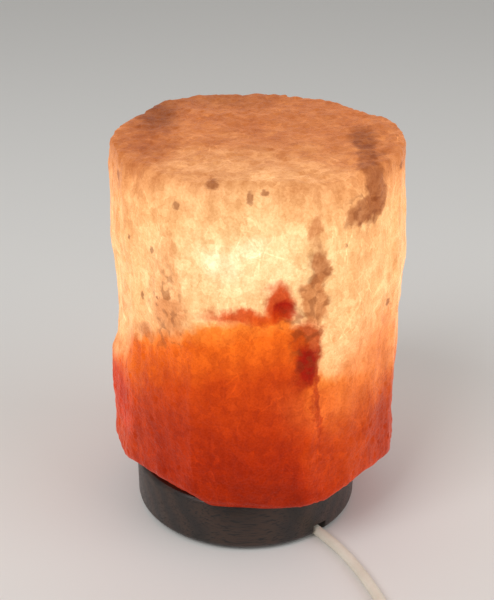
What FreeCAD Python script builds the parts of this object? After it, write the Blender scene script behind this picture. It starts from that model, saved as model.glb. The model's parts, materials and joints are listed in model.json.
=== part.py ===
import FreeCAD, Part
import Sketcher
import math
import os
import re

# Salt crystal lamp: a hewn block of rock salt, screwed to a round wooden base, over a clip-in light
# unit with a small screw bulb, a round mains cord, an in-line rocker switch and a two-pin plug.
# Millimetres. +Z is up, the floor is Z = 0, the front is -Y. The origin is under the middle of the
# crystal's bounding box; the bore, bulb and base stand on the lamp axis, a little left of it.

V = FreeCAD.Vector
doc = FreeCAD.newDocument("salt_crystal_lamp")

# ---------------------------------------------------------------- driving dimensions

DIMENSIONS = {
    # lamp axis and heights
    "lamp_axis_x": -5.0,
    "foot_thickness": 1.5,
    "plate_seat_height": 16.0,
    "crystal_seat_height": 27.5,
    # wooden base and its feet
    "base_radius": 57.5,
    "base_lower_bevel": 2.4,
    "base_upper_bevel": 1.5,
    "hole_radius": 26.0,
    "recess_radius": 36.0,
    "foot_radius": 6.0,
    "foot_circle": 45.5,
    "cord_direction": -50.0,
    "channel_width": 8.0,
    "channel_top": 7.5,
    # hewn crystal
    "bore_top": 142.0,
    "top_height_front": 185.0,
    "top_height_back": 199.5,
    # screws that hold the crystal, and their wall plugs
    "screw_circle": 43.0,
    "screw_shank_radius": 2.0,
    "screw_hole_radius": 2.3,
    "screw_head_radius": 4.0,
    "screw_head_height": 2.6,
    "screw_slot_width": 1.0,
    "screw_slot_depth": 0.9,
    "counterbore_radius": 4.8,
    "counterbore_top": 9.5,
    "screw_length": 36.0,
    "wall_plug_radius": 4.0,
    "wall_plug_length": 24.0,
    # holder plate, clips and nipple
    "plate_radius": 34.0,
    "plate_thickness": 1.2,
    "clip_width": 8.0,
    "clip_thickness": 0.6,
    "clip_gap": 0.7,
    "nipple_radius": 5.0,
    "nipple_bore_radius": 3.5,
    "nipple_bottom": 11.6,
    "nipple_top": 22.0,
    "nut_thickness": 3.0,
    "nut_circumradius": 8.1,
    # lamp holder
    "holder_radius": 13.5,
    "holder_wall": 1.5,
    "holder_lip": 1.6,
    "holder_floor": 3.0,
    "holder_split_height": 33.0,
    "holder_top": 62.0,
    "block_bottom": 37.0,
    "block_top": 43.0,
    "passage_offset": 6.0,
    "passage_half": 1.4,
    "passage_depth": 4.0,
    "terminal_radius": 2.0,
    "terminal_height": 2.4,
    "terminal_offset": 4.6,
    "sleeve_inner_radius": 7.25,
    "sleeve_outer_radius": 7.75,
    "sleeve_top": 60.0,
    "grip_outer_radius": 6.5,
    "grip_bottom": 23.0,
    "grip_top": 29.0,
    "grip_screw_radius": 1.4,
    "grip_screw_length": 4.0,
    # bulb
    "bulb_contact_height": 45.2,
    "bulb_insulator_height": 46.0,
    "bulb_cap_bottom": 48.2,
    "bulb_cap_top": 63.0,
    "bulb_cap_radius": 6.95,
    "bulb_cap_wall": 0.5,
    "insulator_depth": 2.0,
    "bulb_contact_radius": 2.4,
    "bulb_radius": 12.5,
    "bulb_glass_wall": 0.8,
    "bulb_shoulder": 74.0,
    "bulb_top": 130.0,
    "stem_radius": 3.0,
    "stem_top": 84.0,
    "filament_height": 107.0,
    "filament_half_span": 6.0,
    "filament_radius": 0.5,
    "filament_end_gap": 0.4,
    "support_radius": 0.35,
    # cord
    "cord_radius": 2.5,
    "cord_floor_height": 2.6,
    "lead_radius": 0.9,
    # in-line switch
    "switch_half_length": 29.0,
    "switch_half_width": 12.0,
    "switch_end_half_width": 4.6,
    "switch_cheek_along": 26.6,
    "switch_cheek_across": 9.0,
    "switch_shoulder": 21.0,
    "switch_bevel": 1.6,
    "switch_parting_height": 7.0,
    "switch_height": 13.6,
    "switch_wall": 1.6,
    "switch_screw_across": 17.0,
    "switch_screw_along": 7.2,
    "case_boss_radius": 2.8,
    "case_screw_radius": 1.1,
    "case_head_radius": 2.1,
    "case_sink_depth": 1.5,
    "window_half_length": 10.6,
    "window_half_width": 6.0,
    "rocker_half_length": 9.3,
    "rocker_width": 11.0,
    "rocker_pivot_height": 10.5,
    "rocker_pin_radius": 1.2,
    "rocker_pin_length": 16.4,
    "rocker_tilt": 12.0,
    # plug
    "plug_width": 35.3,
    "plug_thickness": 13.7,
    "plug_length": 44.0,
    "plug_pin_radius": 2.0,
    "plug_pin_spacing": 18.6,
    "plug_pin_length": 19.0,
    "pin_sleeve_length": 10.0,
    "pin_core_radius": 1.4,
    "pin_seat_depth": 8.0,
    # tie round the coil
    "tie_thickness": 0.9,
    "tie_width": 9.0,
}

dims = doc.addObject("Spreadsheet::Sheet", "dims")
for row, (alias, size) in enumerate(DIMENSIONS.items(), start=1):
    dims.set("A%d" % row, alias)
    dims.set("B%d" % row, str(size))
    dims.setAlias("B%d" % row, alias)
doc.recompute()

FUNCTIONS = ("cos", "sin")
SCREW_ANGLES = (30, 150, 270)
FOOT_ANGLES = (90, 210, 330)
CLIP_ANGLES = (90, 210, 330)
CORD_SIDES = 8
WIRE_SIDES = 6
SMALL_SIDES = 16
CAP_SIDES = 24
HOLDER_SIDES = 32
PLATE_SIDES = 48
nodes = {}


# ---------------------------------------------------------------- helpers

def cells(text):
    """An expression in sheet aliases, with each alias written as a cell of the sheet."""
    text = str(text)
    return re.sub(r"[a-z]\w*", lambda word: word[0] if word[0] in FUNCTIONS else "dims." + word[0], text)


def size(text):
    """The number that an expression in sheet aliases gives."""
    return float(dims.evalExpression(cells(text)))


def bind(item, **expressions):
    """Ties properties of an object to the sheet; a name such as Placement_Base_x means a dotted path."""
    for name, text in expressions.items():
        item.setExpression(name.replace("_", "."), cells(text))


def place(item, x="lamp_axis_x", y=0, z=0, turn=0):
    """Puts an object at a point given in expressions, turned about +Z by a number of degrees."""
    item.Placement = FreeCAD.Placement(V(0, 0, 0), FreeCAD.Rotation(V(0, 0, 1), turn))
    bind(item, Placement_Base_x=x, Placement_Base_y=y, Placement_Base_z=z)
    return item


def node(label, item):
    """Names the object that is one sub-part."""
    item.Label = label
    nodes[label] = item
    return item


def plane(body, role):
    return [item for item in body.Origin.OriginFeatures if item.Role == role][0]


def outline(body, role, corners, height=None):
    """A closed sketch of straight edges on an origin plane; each corner is a pair of expressions."""
    sketch = body.newObject("Sketcher::SketchObject", body.Name + "_outline")
    sketch.AttachmentSupport = [(plane(body, role), "")]
    sketch.MapMode = "FlatFace"
    if height is not None:
        bind(sketch, AttachmentOffset_Base_z=height)
    points = [V(size(across), size(along), 0) for across, along in corners]
    for index, start in enumerate(points):
        sketch.addGeometry(Part.LineSegment(start, points[(index + 1) % len(points)]))
    for index, (across, along) in enumerate(corners):
        constrain(sketch, ("Coincident", index, 2, (index + 1) % len(corners), 1))
        pin_down(sketch, "DistanceX", index, across, -2)
        pin_down(sketch, "DistanceY", index, along, -1)
    return sketch


def constrain(sketch, terms):
    return sketch.addConstraint(Sketcher.Constraint(*terms))


def pin_down(sketch, kind, index, text, axis):
    """Holds one corner at a distance from an axis of the sketch, or on it where that distance is 0."""
    value = size(text)
    if abs(value) < 1e-9:
        constrain(sketch, ("PointOnObject", index, 1, axis))
        return
    number = constrain(sketch, (kind, -1, 1, index, 1, value))
    sketch.setExpression("Constraints[%d]" % number, cells(text))


def turned(name, corners):
    """A body turned about the lamp axis from a half section of (radius, height) corners."""
    body = doc.addObject("PartDesign::Body", name)
    sketch = outline(body, "XZ_Plane", corners)
    revolution = body.newObject("PartDesign::Revolution", name + "_turned")
    revolution.Profile = sketch
    revolution.ReferenceAxis = (sketch, ["V_Axis"])
    revolution.Angle = 360.0
    sketch.Visibility = False
    place(body)
    doc.recompute()
    return body


def padded(name, corners, bottom, length):
    """A body extruded upwards from an outline of (x, y) corners."""
    body = doc.addObject("PartDesign::Body", name)
    sketch = outline(body, "XY_Plane", corners, bottom)
    pad = body.newObject("PartDesign::Pad", name + "_pad")
    pad.Profile = sketch
    bind(pad, Length=length)
    sketch.Visibility = False
    doc.recompute()
    return body


def pocket(body, corners, bottom, length):
    """Cuts an upright prism out of a body, and checks that it took something away."""
    before = body.Shape.Volume
    sketch = outline(body, "XY_Plane", corners, bottom)
    cut = body.newObject("PartDesign::Pocket", body.Name + "_pocket")
    cut.Profile = sketch
    cut.Reversed = True
    bind(cut, Length=length)
    sketch.Visibility = False
    doc.recompute()
    check_smaller(body, before)
    return cut


def check_smaller(body, before):
    if not body.Shape.Volume < before - 1e-6:
        raise RuntimeError("%s: the cut took nothing away" % body.Name)


def bevelled(body, width, pick):
    """Chamfers the edges of a body that pick(edge) accepts."""
    tip = body.Tip
    names = ["Edge%d" % (i + 1) for i, edge in enumerate(tip.Shape.Edges) if pick(edge)]
    chamfer = body.newObject("PartDesign::Chamfer", body.Name + "_bevel")
    chamfer.Base = (tip, names)
    bind(chamfer, Size=width)
    doc.recompute()
    return chamfer


def primitive(kind, name, x="lamp_axis_x", y=0, z=0, turn=0, **sizes):
    """A Part primitive with its sizes and its place tied to the sheet."""
    item = doc.addObject("Part::" + kind, name)
    bind(item, **sizes)
    return place(item, x, y, z, turn)


def lying(item, direction, x="lamp_axis_x", y=0, z=0):
    """Turns an upright primitive's axis to a direction and puts it at a point given in expressions."""
    item.Placement = FreeCAD.Placement(V(0, 0, 0), FreeCAD.Rotation(V(0, 0, 1), direction))
    bind(item, Placement_Base_x=x, Placement_Base_y=y, Placement_Base_z=z)
    return item


def rod(name, radius, bottom, top, x="lamp_axis_x", y=0):
    return primitive("Cylinder", name, x, y, bottom, Radius=radius, Height="(%s) - (%s)" % (top, bottom))


def prism(name, sides, radius, bottom, top, x="lamp_axis_x", y=0):
    """An upright regular prism, for small round hardware."""
    item = doc.addObject("Part::Prism", name)
    item.Polygon = sides
    bind(item, Circumradius=radius, Height="(%s) - (%s)" % (top, bottom))
    return place(item, x, y, bottom)


def sleeve(name, sides, outer, inner, bottom, top, x="lamp_axis_x", y=0):
    """A prism with a hole right through it."""
    return less(
        name, prism(name + "_outside", sides, outer, bottom, top, x, y),
        prism(name + "_inside", sides, inner, bottom + " - 1", top + " + 1", x, y),
    )


def box(name, low, high):
    """A box between two corners given in expressions."""
    spans = ["(%s) - (%s)" % (top, bottom) for bottom, top in zip(low, high)]
    return primitive("Box", name, *low, Length=spans[0], Width=spans[1], Height=spans[2])


def less(name, base, *tools):
    """The base with every tool cut out of it."""
    for index, tool in enumerate(tools):
        cut = doc.addObject("Part::Cut", "%s_cut_%d" % (name, index))
        cut.Base = base
        cut.Tool = tool
        base = cut
    doc.recompute()
    return base


def joined(name, *items):
    fusion = doc.addObject("Part::MultiFuse", name)
    fusion.Shapes = list(items)
    doc.recompute()
    return fusion


def together(name, items):
    """Several separate solids of one kind as one object."""
    compound = doc.addObject("Part::Compound", name)
    compound.Links = list(items)
    doc.recompute()
    return compound


def around(circle, angle):
    """Expressions for the point on a circle about the lamp axis."""
    return (
        "lamp_axis_x + (%s) * cos(%s)" % (circle, angle),
        "(%s) * sin(%s)" % (circle, angle),
    )


def shaped(name, shape):
    """A free form that no sketch or primitive fits."""
    item = doc.addObject("Part::Feature", name)
    item.Shape = shape
    return item


# ---------------------------------------------------------------- paths of wire and cord

def bend_radius(before, corner, after):
    """Radius of the arc at a corner of a route: 0.45 of the shorter run over the half turn's tangent."""
    turn = (corner - before).getAngle(after - corner)
    return 0.45 * min((corner - before).Length, (after - corner).Length) / math.tan(turn / 2)


def route_wire(points):
    """Straight runs joined by tangent arcs, and the least radius among the arcs."""
    edges = []
    radii = []
    start = points[0]
    for before, corner, after in zip(points, points[1:], points[2:]):
        back = (before - corner).normalize()
        onward = (after - corner).normalize()
        turn = math.pi - back.getAngle(onward)
        radius = bend_radius(before, corner, after)
        reach = radius * math.tan(turn / 2)
        middle = corner + (back + onward).normalize() * (radius / math.cos(turn / 2) - radius)
        edges.append(Part.LineSegment(start, corner + back * reach).toShape())
        edges.append(Part.Arc(corner + back * reach, middle, corner + onward * reach).toShape())
        start = corner + onward * reach
        radii.append(radius)
    edges.append(Part.LineSegment(start, points[-1]).toShape())
    return Part.Wire(edges), min(radii)


def cord_section(start, direction, radius, sides):
    """A regular section square to a direction, with a flat side underneath."""
    ahead = V(direction).normalize()
    upright_run = abs(ahead.z) > 0.9
    aside = V(1, 0, 0) if upright_run else ahead.cross(V(0, 0, 1)).normalize()
    above = aside.cross(ahead)
    corners = []
    for index in range(sides):
        angle = 2 * math.pi * (index + 0.5) / sides
        corners.append(start + aside * (radius * math.cos(angle)) + above * (radius * math.sin(angle)))
    return Part.makePolygon(corners + corners[:1])


def section_area(radius, sides):
    return sides / 2 * radius ** 2 * math.sin(2 * math.pi / sides)


def pipe(wire, start, direction, radius, sides):
    """A many-sided solid swept along a wire."""
    return wire.makePipeShell([cord_section(start, direction, radius, sides)], True, False)


def cord_stretch(name, points, radius_name="cord_radius"):
    """A free stretch of cord along a list of route points."""
    radius = size(radius_name)
    wire, least = route_wire(points)
    solid = pipe(wire, points[0], points[1] - points[0], radius, CORD_SIDES)
    expected = section_area(radius, CORD_SIDES) * wire.Length
    if abs(solid.Volume / expected - 1) > 0.01:
        raise RuntimeError("%s: volume %.1f, expected %.1f" % (name, solid.Volume, expected))
    print("%s: length %.1f mm, least bend radius %.1f mm" % (name, wire.Length, least))
    return node(name, shaped(name, solid))


def arc_from(start, tangent, end):
    """The arc from a point along a tangent to another point, and its tangent at the end."""
    chord = end - start
    along = V(chord).normalize()
    aside = tangent - along * tangent.dot(along)
    half_turn = tangent.getAngle(chord)
    middle = (start + end) * 0.5 + aside.normalize() * (chord.Length / 2 * math.tan(half_turn / 2))
    return Part.Arc(start, middle, end), along * (2 * tangent.dot(along)) - tangent


def biarc(start, tangent, end, end_tangent):
    """Two arcs that join two points and keep the tangents there."""
    chord = end - start
    both = tangent + end_tangent
    spread = 2 * (1 - tangent.dot(end_tangent))
    lean = chord.dot(both)
    handle = (math.sqrt(lean * lean + spread * chord.dot(chord)) - lean) / spread
    joint = (start + tangent * handle + end - end_tangent * handle) * 0.5
    first, joint_tangent = arc_from(start, tangent, joint)
    second, _ = arc_from(joint, joint_tangent, end)
    return [first.toShape(), second.toShape()]


# ---------------------------------------------------------------- the hewn crystal

# Plan of the block about the lamp axis, anticlockwise from its right side: 18 hewn faces.
CRYSTAL_PLAN = [
    (78, 2), (73, 28), (60, 48), (36, 64), (8, 70), (-30, 69), (-48, 58), (-57, 36), (-65, 16),
    (-68, -6), (-57, -30), (-42, -48), (-25, -62), (4, -67), (29, -64), (48, -53), (60, -41), (72, -22),
]
PLAN_LIMITS = {"left": -68, "right": 78, "front": -67, "back": 70}

# How far the block reaches at each height: height, left, right, front, back.
CRYSTAL_LEVELS = [
    (27.5, -61, 71, -61, 62),
    (33.0, -69, 78.4, -68, 67),
    (50.0, -67.6, 76.8, -69, 68),
    (70.0, -67.6, 77, -69.5, 69),
    (88.0, -66.6, 77.2, -69, 69.5),
    (95.0, -64, 77, -68.5, 70),
    (109.0, -63, 76.9, -68, 70),
    (113.0, -63, 78.5, -68, 70),
    (133.0, -62.8, 78.8, -67.5, 70.5),
    (154.0, -66, 77.3, -66.5, 70.5),
    (176.0, -65.4, 75.6, -65, 70.5),
    (192.0, -63.5, 75, -62, 69.5),
    (206.0, -57, 69, -56, 64),
]

# Hewn bevels: direction of the face's outward normal in plan, its rise, and its distance from the
# block's middle, all about (plan middle, half height).
HEWN_BEVELS = [
    (-90, 52, 92.5), (-48, 50, 97), (-8, 44, 103.5), (35, 46, 105), (88, 44, 110.5),
    (140, 42, 110), (178, 45, 104.5), (222, 48, 97),
    (-95, -46, 103), (-40, -45, 101.5), (8, -47, 106), (62, -44, 104),
    (128, -45, 107), (190, -46, 105.5), (226, -44, 100),
    (-64, 5, 73.8), (243, 6, 70.6), (196, 4, 70.4), (-22, -3, 74.3), (47, 3, 80.3), (112, -4, 74),
]
BLOCK_MIDDLE = V(5, 0, 113)
FAR = 400.0


def stretched(corner, limits):
    """A corner of the plan, stretched so that the plan reaches the limits of one level."""
    across, along = corner
    left, right, front, back = limits
    side = right / PLAN_LIMITS["right"] if across > 0 else left / PLAN_LIMITS["left"]
    depth = back / PLAN_LIMITS["back"] if along > 0 else front / PLAN_LIMITS["front"]
    return across * side, along * depth


def level_corners(height, limits):
    return [V(*stretched(corner, limits), height) for corner in CRYSTAL_PLAN]


def waste_beyond(point, normal):
    """A block that holds everything beyond a plane."""
    block = Part.makeBox(FAR, FAR, FAR, V(-FAR / 2, -FAR / 2, 0))
    block.Placement = FreeCAD.Placement(point, FreeCAD.Rotation(V(0, 0, 1), normal))
    return block


def faceted(rings):
    """A solid with flat faces through rings of corners; a side that isn't flat is two triangles."""
    faces = [Part.Face(Part.makePolygon(ring + ring[:1])) for ring in (rings[0], rings[-1])]
    for lower, upper in zip(rings, rings[1:]):
        for index, corner in enumerate(lower):
            after = (index + 1) % len(lower)
            loop = [corner, lower[after], upper[after], upper[index]]
            across = (loop[2] - loop[0]).cross(loop[3] - loop[1]).normalize()
            flat = abs(across.dot(loop[1] - loop[0])) < 1e-7
            for part in [loop] if flat else [loop[:3], loop[2:] + loop[:1]]:
                faces.append(Part.Face(Part.makePolygon(part + part[:1])))
    return Part.makeSolid(Part.makeShell(faces))


def hewn_block():
    """The block as split and hewn: levels joined by flat facets, a sloping top and flat bevels."""
    block = faceted([level_corners(level[0], level[1:]) for level in CRYSTAL_LEVELS])
    front, back = size("top_height_front"), size("top_height_back")
    slope = V(0, -(back - front), 2 * PLAN_LIMITS["back"])
    block = block.cut(waste_beyond(V(0, 0, (front + back) / 2), slope))
    for direction, rise, distance in HEWN_BEVELS:
        turn, lift = math.radians(direction), math.radians(rise)
        normal = V(math.cos(turn) * math.cos(lift), math.sin(turn) * math.cos(lift), math.sin(lift))
        block = block.cut(waste_beyond(BLOCK_MIDDLE + normal * distance, normal))
    return block.Solids[0]


def salt_crystal():
    block = place(shaped("hewn_block", hewn_block()))
    bore = rod("bore", "hole_radius", "crystal_seat_height", "bore_top")
    drillings = [
        prism("plug_hole_%d" % angle, SMALL_SIDES, "wall_plug_radius", "crystal_seat_height",
              "crystal_seat_height + wall_plug_length + 2", *around("screw_circle", angle))
        for angle in SCREW_ANGLES
    ]
    node("salt_crystal", less("crystal", block, joined("crystal_drillings", bore, *drillings)))


# ---------------------------------------------------------------- wooden base and what fixes it

def screw_at(angle):
    """A pan-head wood screw from under the base, up into its wall plug."""
    x, y = around("screw_circle", angle)
    bottom = "counterbore_top - screw_head_height"
    head = prism("screw_head_%d" % angle, SMALL_SIDES, "screw_head_radius", bottom, "counterbore_top", x, y)
    shank = prism(
        "screw_shank_%d" % angle, SMALL_SIDES, "screw_shank_radius", bottom, bottom + " + screw_length", x, y
    )
    slot = box(
        "screw_slot_%d" % angle,
        (x + " - screw_head_radius - 1", y + " - screw_slot_width / 2", bottom + " - 1"),
        (x + " + screw_head_radius + 1", y + " + screw_slot_width / 2", bottom + " + screw_slot_depth"),
    )
    return less("screw_%d" % angle, joined("screw_solid_%d" % angle, head, shank), slot)


def crystal_screws():
    node("crystal_screws", together("screws", [screw_at(angle) for angle in SCREW_ANGLES]))
    top = "crystal_seat_height + wall_plug_length"
    wall_plugs = [
        sleeve("wall_plug_%d" % angle, SMALL_SIDES, "wall_plug_radius", "screw_shank_radius",
               "crystal_seat_height", top, *around("screw_circle", angle))
        for angle in SCREW_ANGLES
    ]
    node("crystal_plugs", together("wall_plugs", wall_plugs))


def wooden_base():
    """A turned disc with a round hole, a recess under it for the light unit, and a cord channel."""
    bottom, top, seat = "foot_thickness", "crystal_seat_height", "plate_seat_height"
    body = turned("base", [
        ("recess_radius", bottom), ("base_radius - base_lower_bevel", bottom),
        ("base_radius", bottom + " + base_lower_bevel"), ("base_radius", top + " - base_upper_bevel"),
        ("base_radius - base_upper_bevel", top), ("hole_radius", top),
        ("hole_radius", seat), ("recess_radius", seat),
    ])
    channel = primitive(
        "Box", "cord_channel", z=0, Length="base_radius + 5", Width="channel_width", Height="channel_top"
    )
    turn = size("cord_direction")
    channel.Placement = FreeCAD.Placement(V(0, 0, 0), FreeCAD.Rotation(V(0, 0, 1), turn))
    bind(
        channel, Placement_Base_x="lamp_axis_x + channel_width / 2 * sin(cord_direction)",
        Placement_Base_y="0 - channel_width / 2 * cos(cord_direction)",
    )
    drillings = [channel]
    for angle in SCREW_ANGLES:
        x, y = around("screw_circle", angle)
        for kind, radius, top in (
            ("clear", "screw_hole_radius", "crystal_seat_height + 1"),
            ("counter", "counterbore_radius", "counterbore_top"),
        ):
            drillings.append(prism("%s_%d" % (kind, angle), SMALL_SIDES, radius, "0", top, x, y))
    node("wooden_base", less("base", body, joined("base_cuts", *drillings)))


def base_pads():
    pads = [
        prism("pad_%d" % angle, SMALL_SIDES, "foot_radius", "0", "foot_thickness",
              *around("foot_circle", angle))
        for angle in FOOT_ANGLES
    ]
    node("base_pads", together("pads", pads))


# ---------------------------------------------------------------- light unit: plate, clips, holder

def holder_plate():
    node("holder_plate", sleeve(
        "plate", PLATE_SIDES, "plate_radius", "nipple_radius + 0.1",
        "plate_seat_height - plate_thickness", "plate_seat_height",
    ))


def bent_strip(centres, thickness, width):
    """A bent strip with mitred corners, from its middle line in the XZ plane."""
    sides = ([], [])
    for index, point in enumerate(centres):
        before = point - centres[index - 1] if index else centres[1] - point
        after = centres[index + 1] - point if index + 1 < len(centres) else before
        across = (V(before).normalize() + V(after).normalize()).normalize()
        offset = V(-across.z, 0, across.x) * (thickness / 2 / across.dot(V(before).normalize()))
        sides[0].append(point + offset - V(0, width / 2, 0))
        sides[1].append(point - offset - V(0, width / 2, 0))
    points = sides[0] + sides[1][::-1]
    return Part.Face(Part.makePolygon(points + points[:1])).extrude(V(0, width, 0))


def spring_clips():
    """Three steel strips, spot-welded to the plate, that bulge out to the wall of the hole."""
    half = size("clip_thickness") / 2
    seat = size("plate_seat_height") + half
    reach = size("hole_radius - clip_gap") - half
    centres = [
        V(15, 0, seat), V(20.4, 0, seat), V(21.6, 0, seat + 1.2), V(reach - 0.4, 0, seat + 13),
        V(reach, 0, seat + 15), V(reach - 0.4, 0, seat + 17), V(22.2, 0, seat + 27), V(22.8, 0, seat + 29.5),
    ]
    strip = bent_strip(centres, size("clip_thickness"), size("clip_width"))
    clips = [place(shaped("clip_%d" % angle, strip), turn=angle) for angle in CLIP_ANGLES]
    node("spring_clips", together("clips", clips))


def nipple_and_nut():
    node("threaded_nipple", sleeve(
        "nipple", SMALL_SIDES, "nipple_radius", "nipple_bore_radius", "nipple_bottom", "nipple_top",
    ))
    nut = doc.addObject("Part::Prism", "nut_hexagon")
    nut.Polygon = 6
    bind(nut, Circumradius="nut_circumradius", Height="nut_thickness")
    place(nut, z="plate_seat_height - plate_thickness - nut_thickness", turn=15)
    hole = prism("nut_hole", SMALL_SIDES, "nipple_radius", "nipple_bottom - 1", "nipple_top")
    node("lock_nut", less("nut", nut, hole))


def lamp_holder():
    """Lower cup and upper shell of the lamp holder, with its ceramic block and brass screw sleeve."""
    inside, seat, split = "holder_radius - holder_wall", "plate_seat_height", "holder_split_height"
    cup = prism("cup_outside", HOLDER_SIDES, "holder_radius", seat, split)
    cup_room = prism("cup_room", HOLDER_SIDES, inside, seat + " + holder_floor", split + " + 1")
    cup_hole = prism("cup_hole", HOLDER_SIDES, "nipple_radius", seat + " - 1", split)
    node("holder_cap", less("holder_cup", cup, cup_room, cup_hole))
    shell = prism("shell_outside", HOLDER_SIDES, "holder_radius", split, "holder_top")
    shell_room = prism("shell_room", HOLDER_SIDES, inside, split + " - 1", "holder_top - holder_lip")
    shell_hole = prism("shell_hole", HOLDER_SIDES, "sleeve_outer_radius + 0.4", split, "holder_top + 1")
    node("holder_shell", less("holder_body", shell, shell_room, shell_hole))
    node("terminal_block", terminal_block())
    node("thread_sleeve", sleeve(
        "screw_sleeve", CAP_SIDES, "sleeve_outer_radius", "sleeve_inner_radius", "block_top", "sleeve_top",
    ))


def terminal_block():
    """An eight-sided ceramic block inside the shell, with a passage for each core from below."""
    block = doc.addObject("Part::Prism", "block")
    block.Polygon = 8
    bind(block, Circumradius="holder_radius - holder_wall", Height="block_top - block_bottom")
    place(block, z="block_bottom")
    passages = []
    for side in (-1, 1):
        low = "lamp_axis_x + (%d) * passage_offset - passage_half" % side
        high = "lamp_axis_x + (%d) * passage_offset + passage_half" % side
        passages.append(box(
            "passage_%d" % side, (low, "0 - passage_half", "block_bottom - 1"),
            (high, "passage_half", "block_bottom + passage_depth"),
        ))
    return less("block", block, *passages)


def contact_and_terminals():
    """Spring tongue under the bulb's foot, terminal screws, and the collar that grips the cord."""
    leaf = bent_strip([V(-4.6, 0, 0.25), V(-2, 0, 0.25), V(1.2, 0, 1.6), V(3, 0, 1.3)], 0.4, 3)
    node("centre_contact", place(shaped("contact_leaf", leaf), z="block_top"))
    screws = [
        prism("terminal_%d" % side, SMALL_SIDES, "terminal_radius", "block_bottom - terminal_height",
              "block_bottom", "lamp_axis_x + (%d) * passage_offset" % side, "terminal_offset")
        for side in (-1, 1)
    ]
    node("terminal_screws", together("terminals", screws))
    node("cord_grip", sleeve(
        "grip", SMALL_SIDES, "grip_outer_radius", "cord_radius", "grip_bottom", "grip_top",
    ))
    grip_screw = prism("grip_screw_rod", SMALL_SIDES, "grip_screw_radius", "0", "grip_screw_length")
    node("grip_screw", lying(
        grip_screw, V(1, 0, 0), x="lamp_axis_x + grip_outer_radius", z="(grip_bottom + grip_top) / 2",
    ))


def lead_cores():
    """The two thin insulated cores, from the end of the cord's sheath up into the ceramic block."""
    sheath_end = V(0, 0, 30.6)
    cores = []
    for side in (-1, 1):
        reach = size("passage_offset") * side
        points = [
            sheath_end + V(1.1 * side, 0, 0), V(1.1 * side, 0, 32.4), V(reach, 0, 34.4),
            V(reach, 0, size("block_bottom") + 3),
        ]
        path = Part.makePolygon(points)
        solid = pipe(path, points[0], points[1] - points[0], size("lead_radius"), WIRE_SIDES)
        cores.append(place(shaped("core_%d" % side, solid)))
    node("lead_cores", together("cores", cores))


# ---------------------------------------------------------------- bulb

def bulb():
    inner = "bulb_cap_radius - bulb_cap_wall"
    node("bulb_cap", sleeve(
        "cap", CAP_SIDES, "bulb_cap_radius", inner, "bulb_cap_bottom", "bulb_cap_top",
    ))
    node("bulb_insulator", prism(
        "insulator", CAP_SIDES, inner, "bulb_insulator_height", "bulb_cap_bottom + insulator_depth",
    ))
    node("bulb_contact", prism(
        "foot_contact", SMALL_SIDES, "bulb_contact_radius", "bulb_contact_height", "bulb_insulator_height",
    ))
    node("bulb_glass", place(shaped("glass", bulb_glass())))
    node("bulb_stem", rod("stem", "stem_radius", "bulb_cap_bottom + insulator_depth", "stem_top"))
    span = size("filament_half_span")
    wires = []
    for side in (-1, 1):
        points = [
            V(1.6 * side, 0, size("stem_top")), V(2.4 * side, 0, size("stem_top") + 10),
            V(span * side, 0, size("filament_height")),
        ]
        path = Part.makePolygon(points)
        solid = pipe(path, points[0], points[1] - points[0], size("support_radius"), WIRE_SIDES)
        wires.append(place(shaped("support_wire_%d" % side, solid)))
    node("support_wires", together("supports", wires))
    inset = size("filament_end_gap")
    filament = Part.makeCylinder(
        size("filament_radius"), 2 * (span - inset), V(inset - span, 0, size("filament_height")), V(1, 0, 0),
    )
    node("filament", place(shaped("filament_coil", filament)))


def glass_rings(inset):
    """Radius and height of the glass's rings, from its neck inside the cap up to its dome."""
    radius = size("bulb_radius") - inset
    neck = size("bulb_cap_radius - bulb_cap_wall") - inset
    cap_top, shoulder, dome = size("bulb_cap_top"), size("bulb_shoulder"), size("bulb_top - bulb_radius")
    rings = [(neck, size("bulb_cap_bottom + insulator_depth") + inset), (neck, cap_top)]
    for share in (1 / 3, 2 / 3):
        swell = (1 - math.cos(math.pi * share)) / 2
        rings.append((neck + (radius - neck) * swell, cap_top + (shoulder - cap_top) * share))
    rings += [(radius, shoulder), (radius, dome)]
    for degrees in (22.5, 45, 67.5, 84):
        angle = math.radians(degrees)
        rings.append((radius * math.cos(angle), dome + radius * math.sin(angle)))
    return rings


def glass_form(inset):
    """A many-sided form through the rings."""
    rings = []
    for radius, height in glass_rings(inset):
        turns = [2 * math.pi * index / CAP_SIDES for index in range(CAP_SIDES)]
        rings.append([V(radius * math.cos(turn), radius * math.sin(turn), height) for turn in turns])
    return faceted(rings)


def bulb_glass():
    stem_hole = Part.makeCylinder(size("stem_radius"), 20, V(0, 0, size("bulb_cap_bottom") - 5))
    return glass_form(0).cut(glass_form(size("bulb_glass_wall"))).cut(stem_hole)


# ---------------------------------------------------------------- cord

FLOOR = size("cord_floor_height")
AXIS = size("lamp_axis_x")
SWITCH_MIDDLE = V(-12, -253, size("switch_parting_height"))
SWITCH_RIGHT = SWITCH_MIDDLE + V(size("switch_half_length"), 0, 0)
SWITCH_LEFT = SWITCH_MIDDLE - V(size("switch_half_length"), 0, 0)
STRAIGHT_END = V(13, 0, 0)
COIL_CENTRE = V(-37.5, -150.5, 0)
COIL_OUTER = 36.5
COIL_PITCH = 5.7
COIL_HEIGHT = 3.8
COIL_TURNS = 5.25
TIE_DIRECTION = -60.0
PLUG_REAR = V(31, -170, size("plug_thickness") / 2)


def from_axis(across, along, height=FLOOR):
    return V(AXIS + across, along, height)


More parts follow.
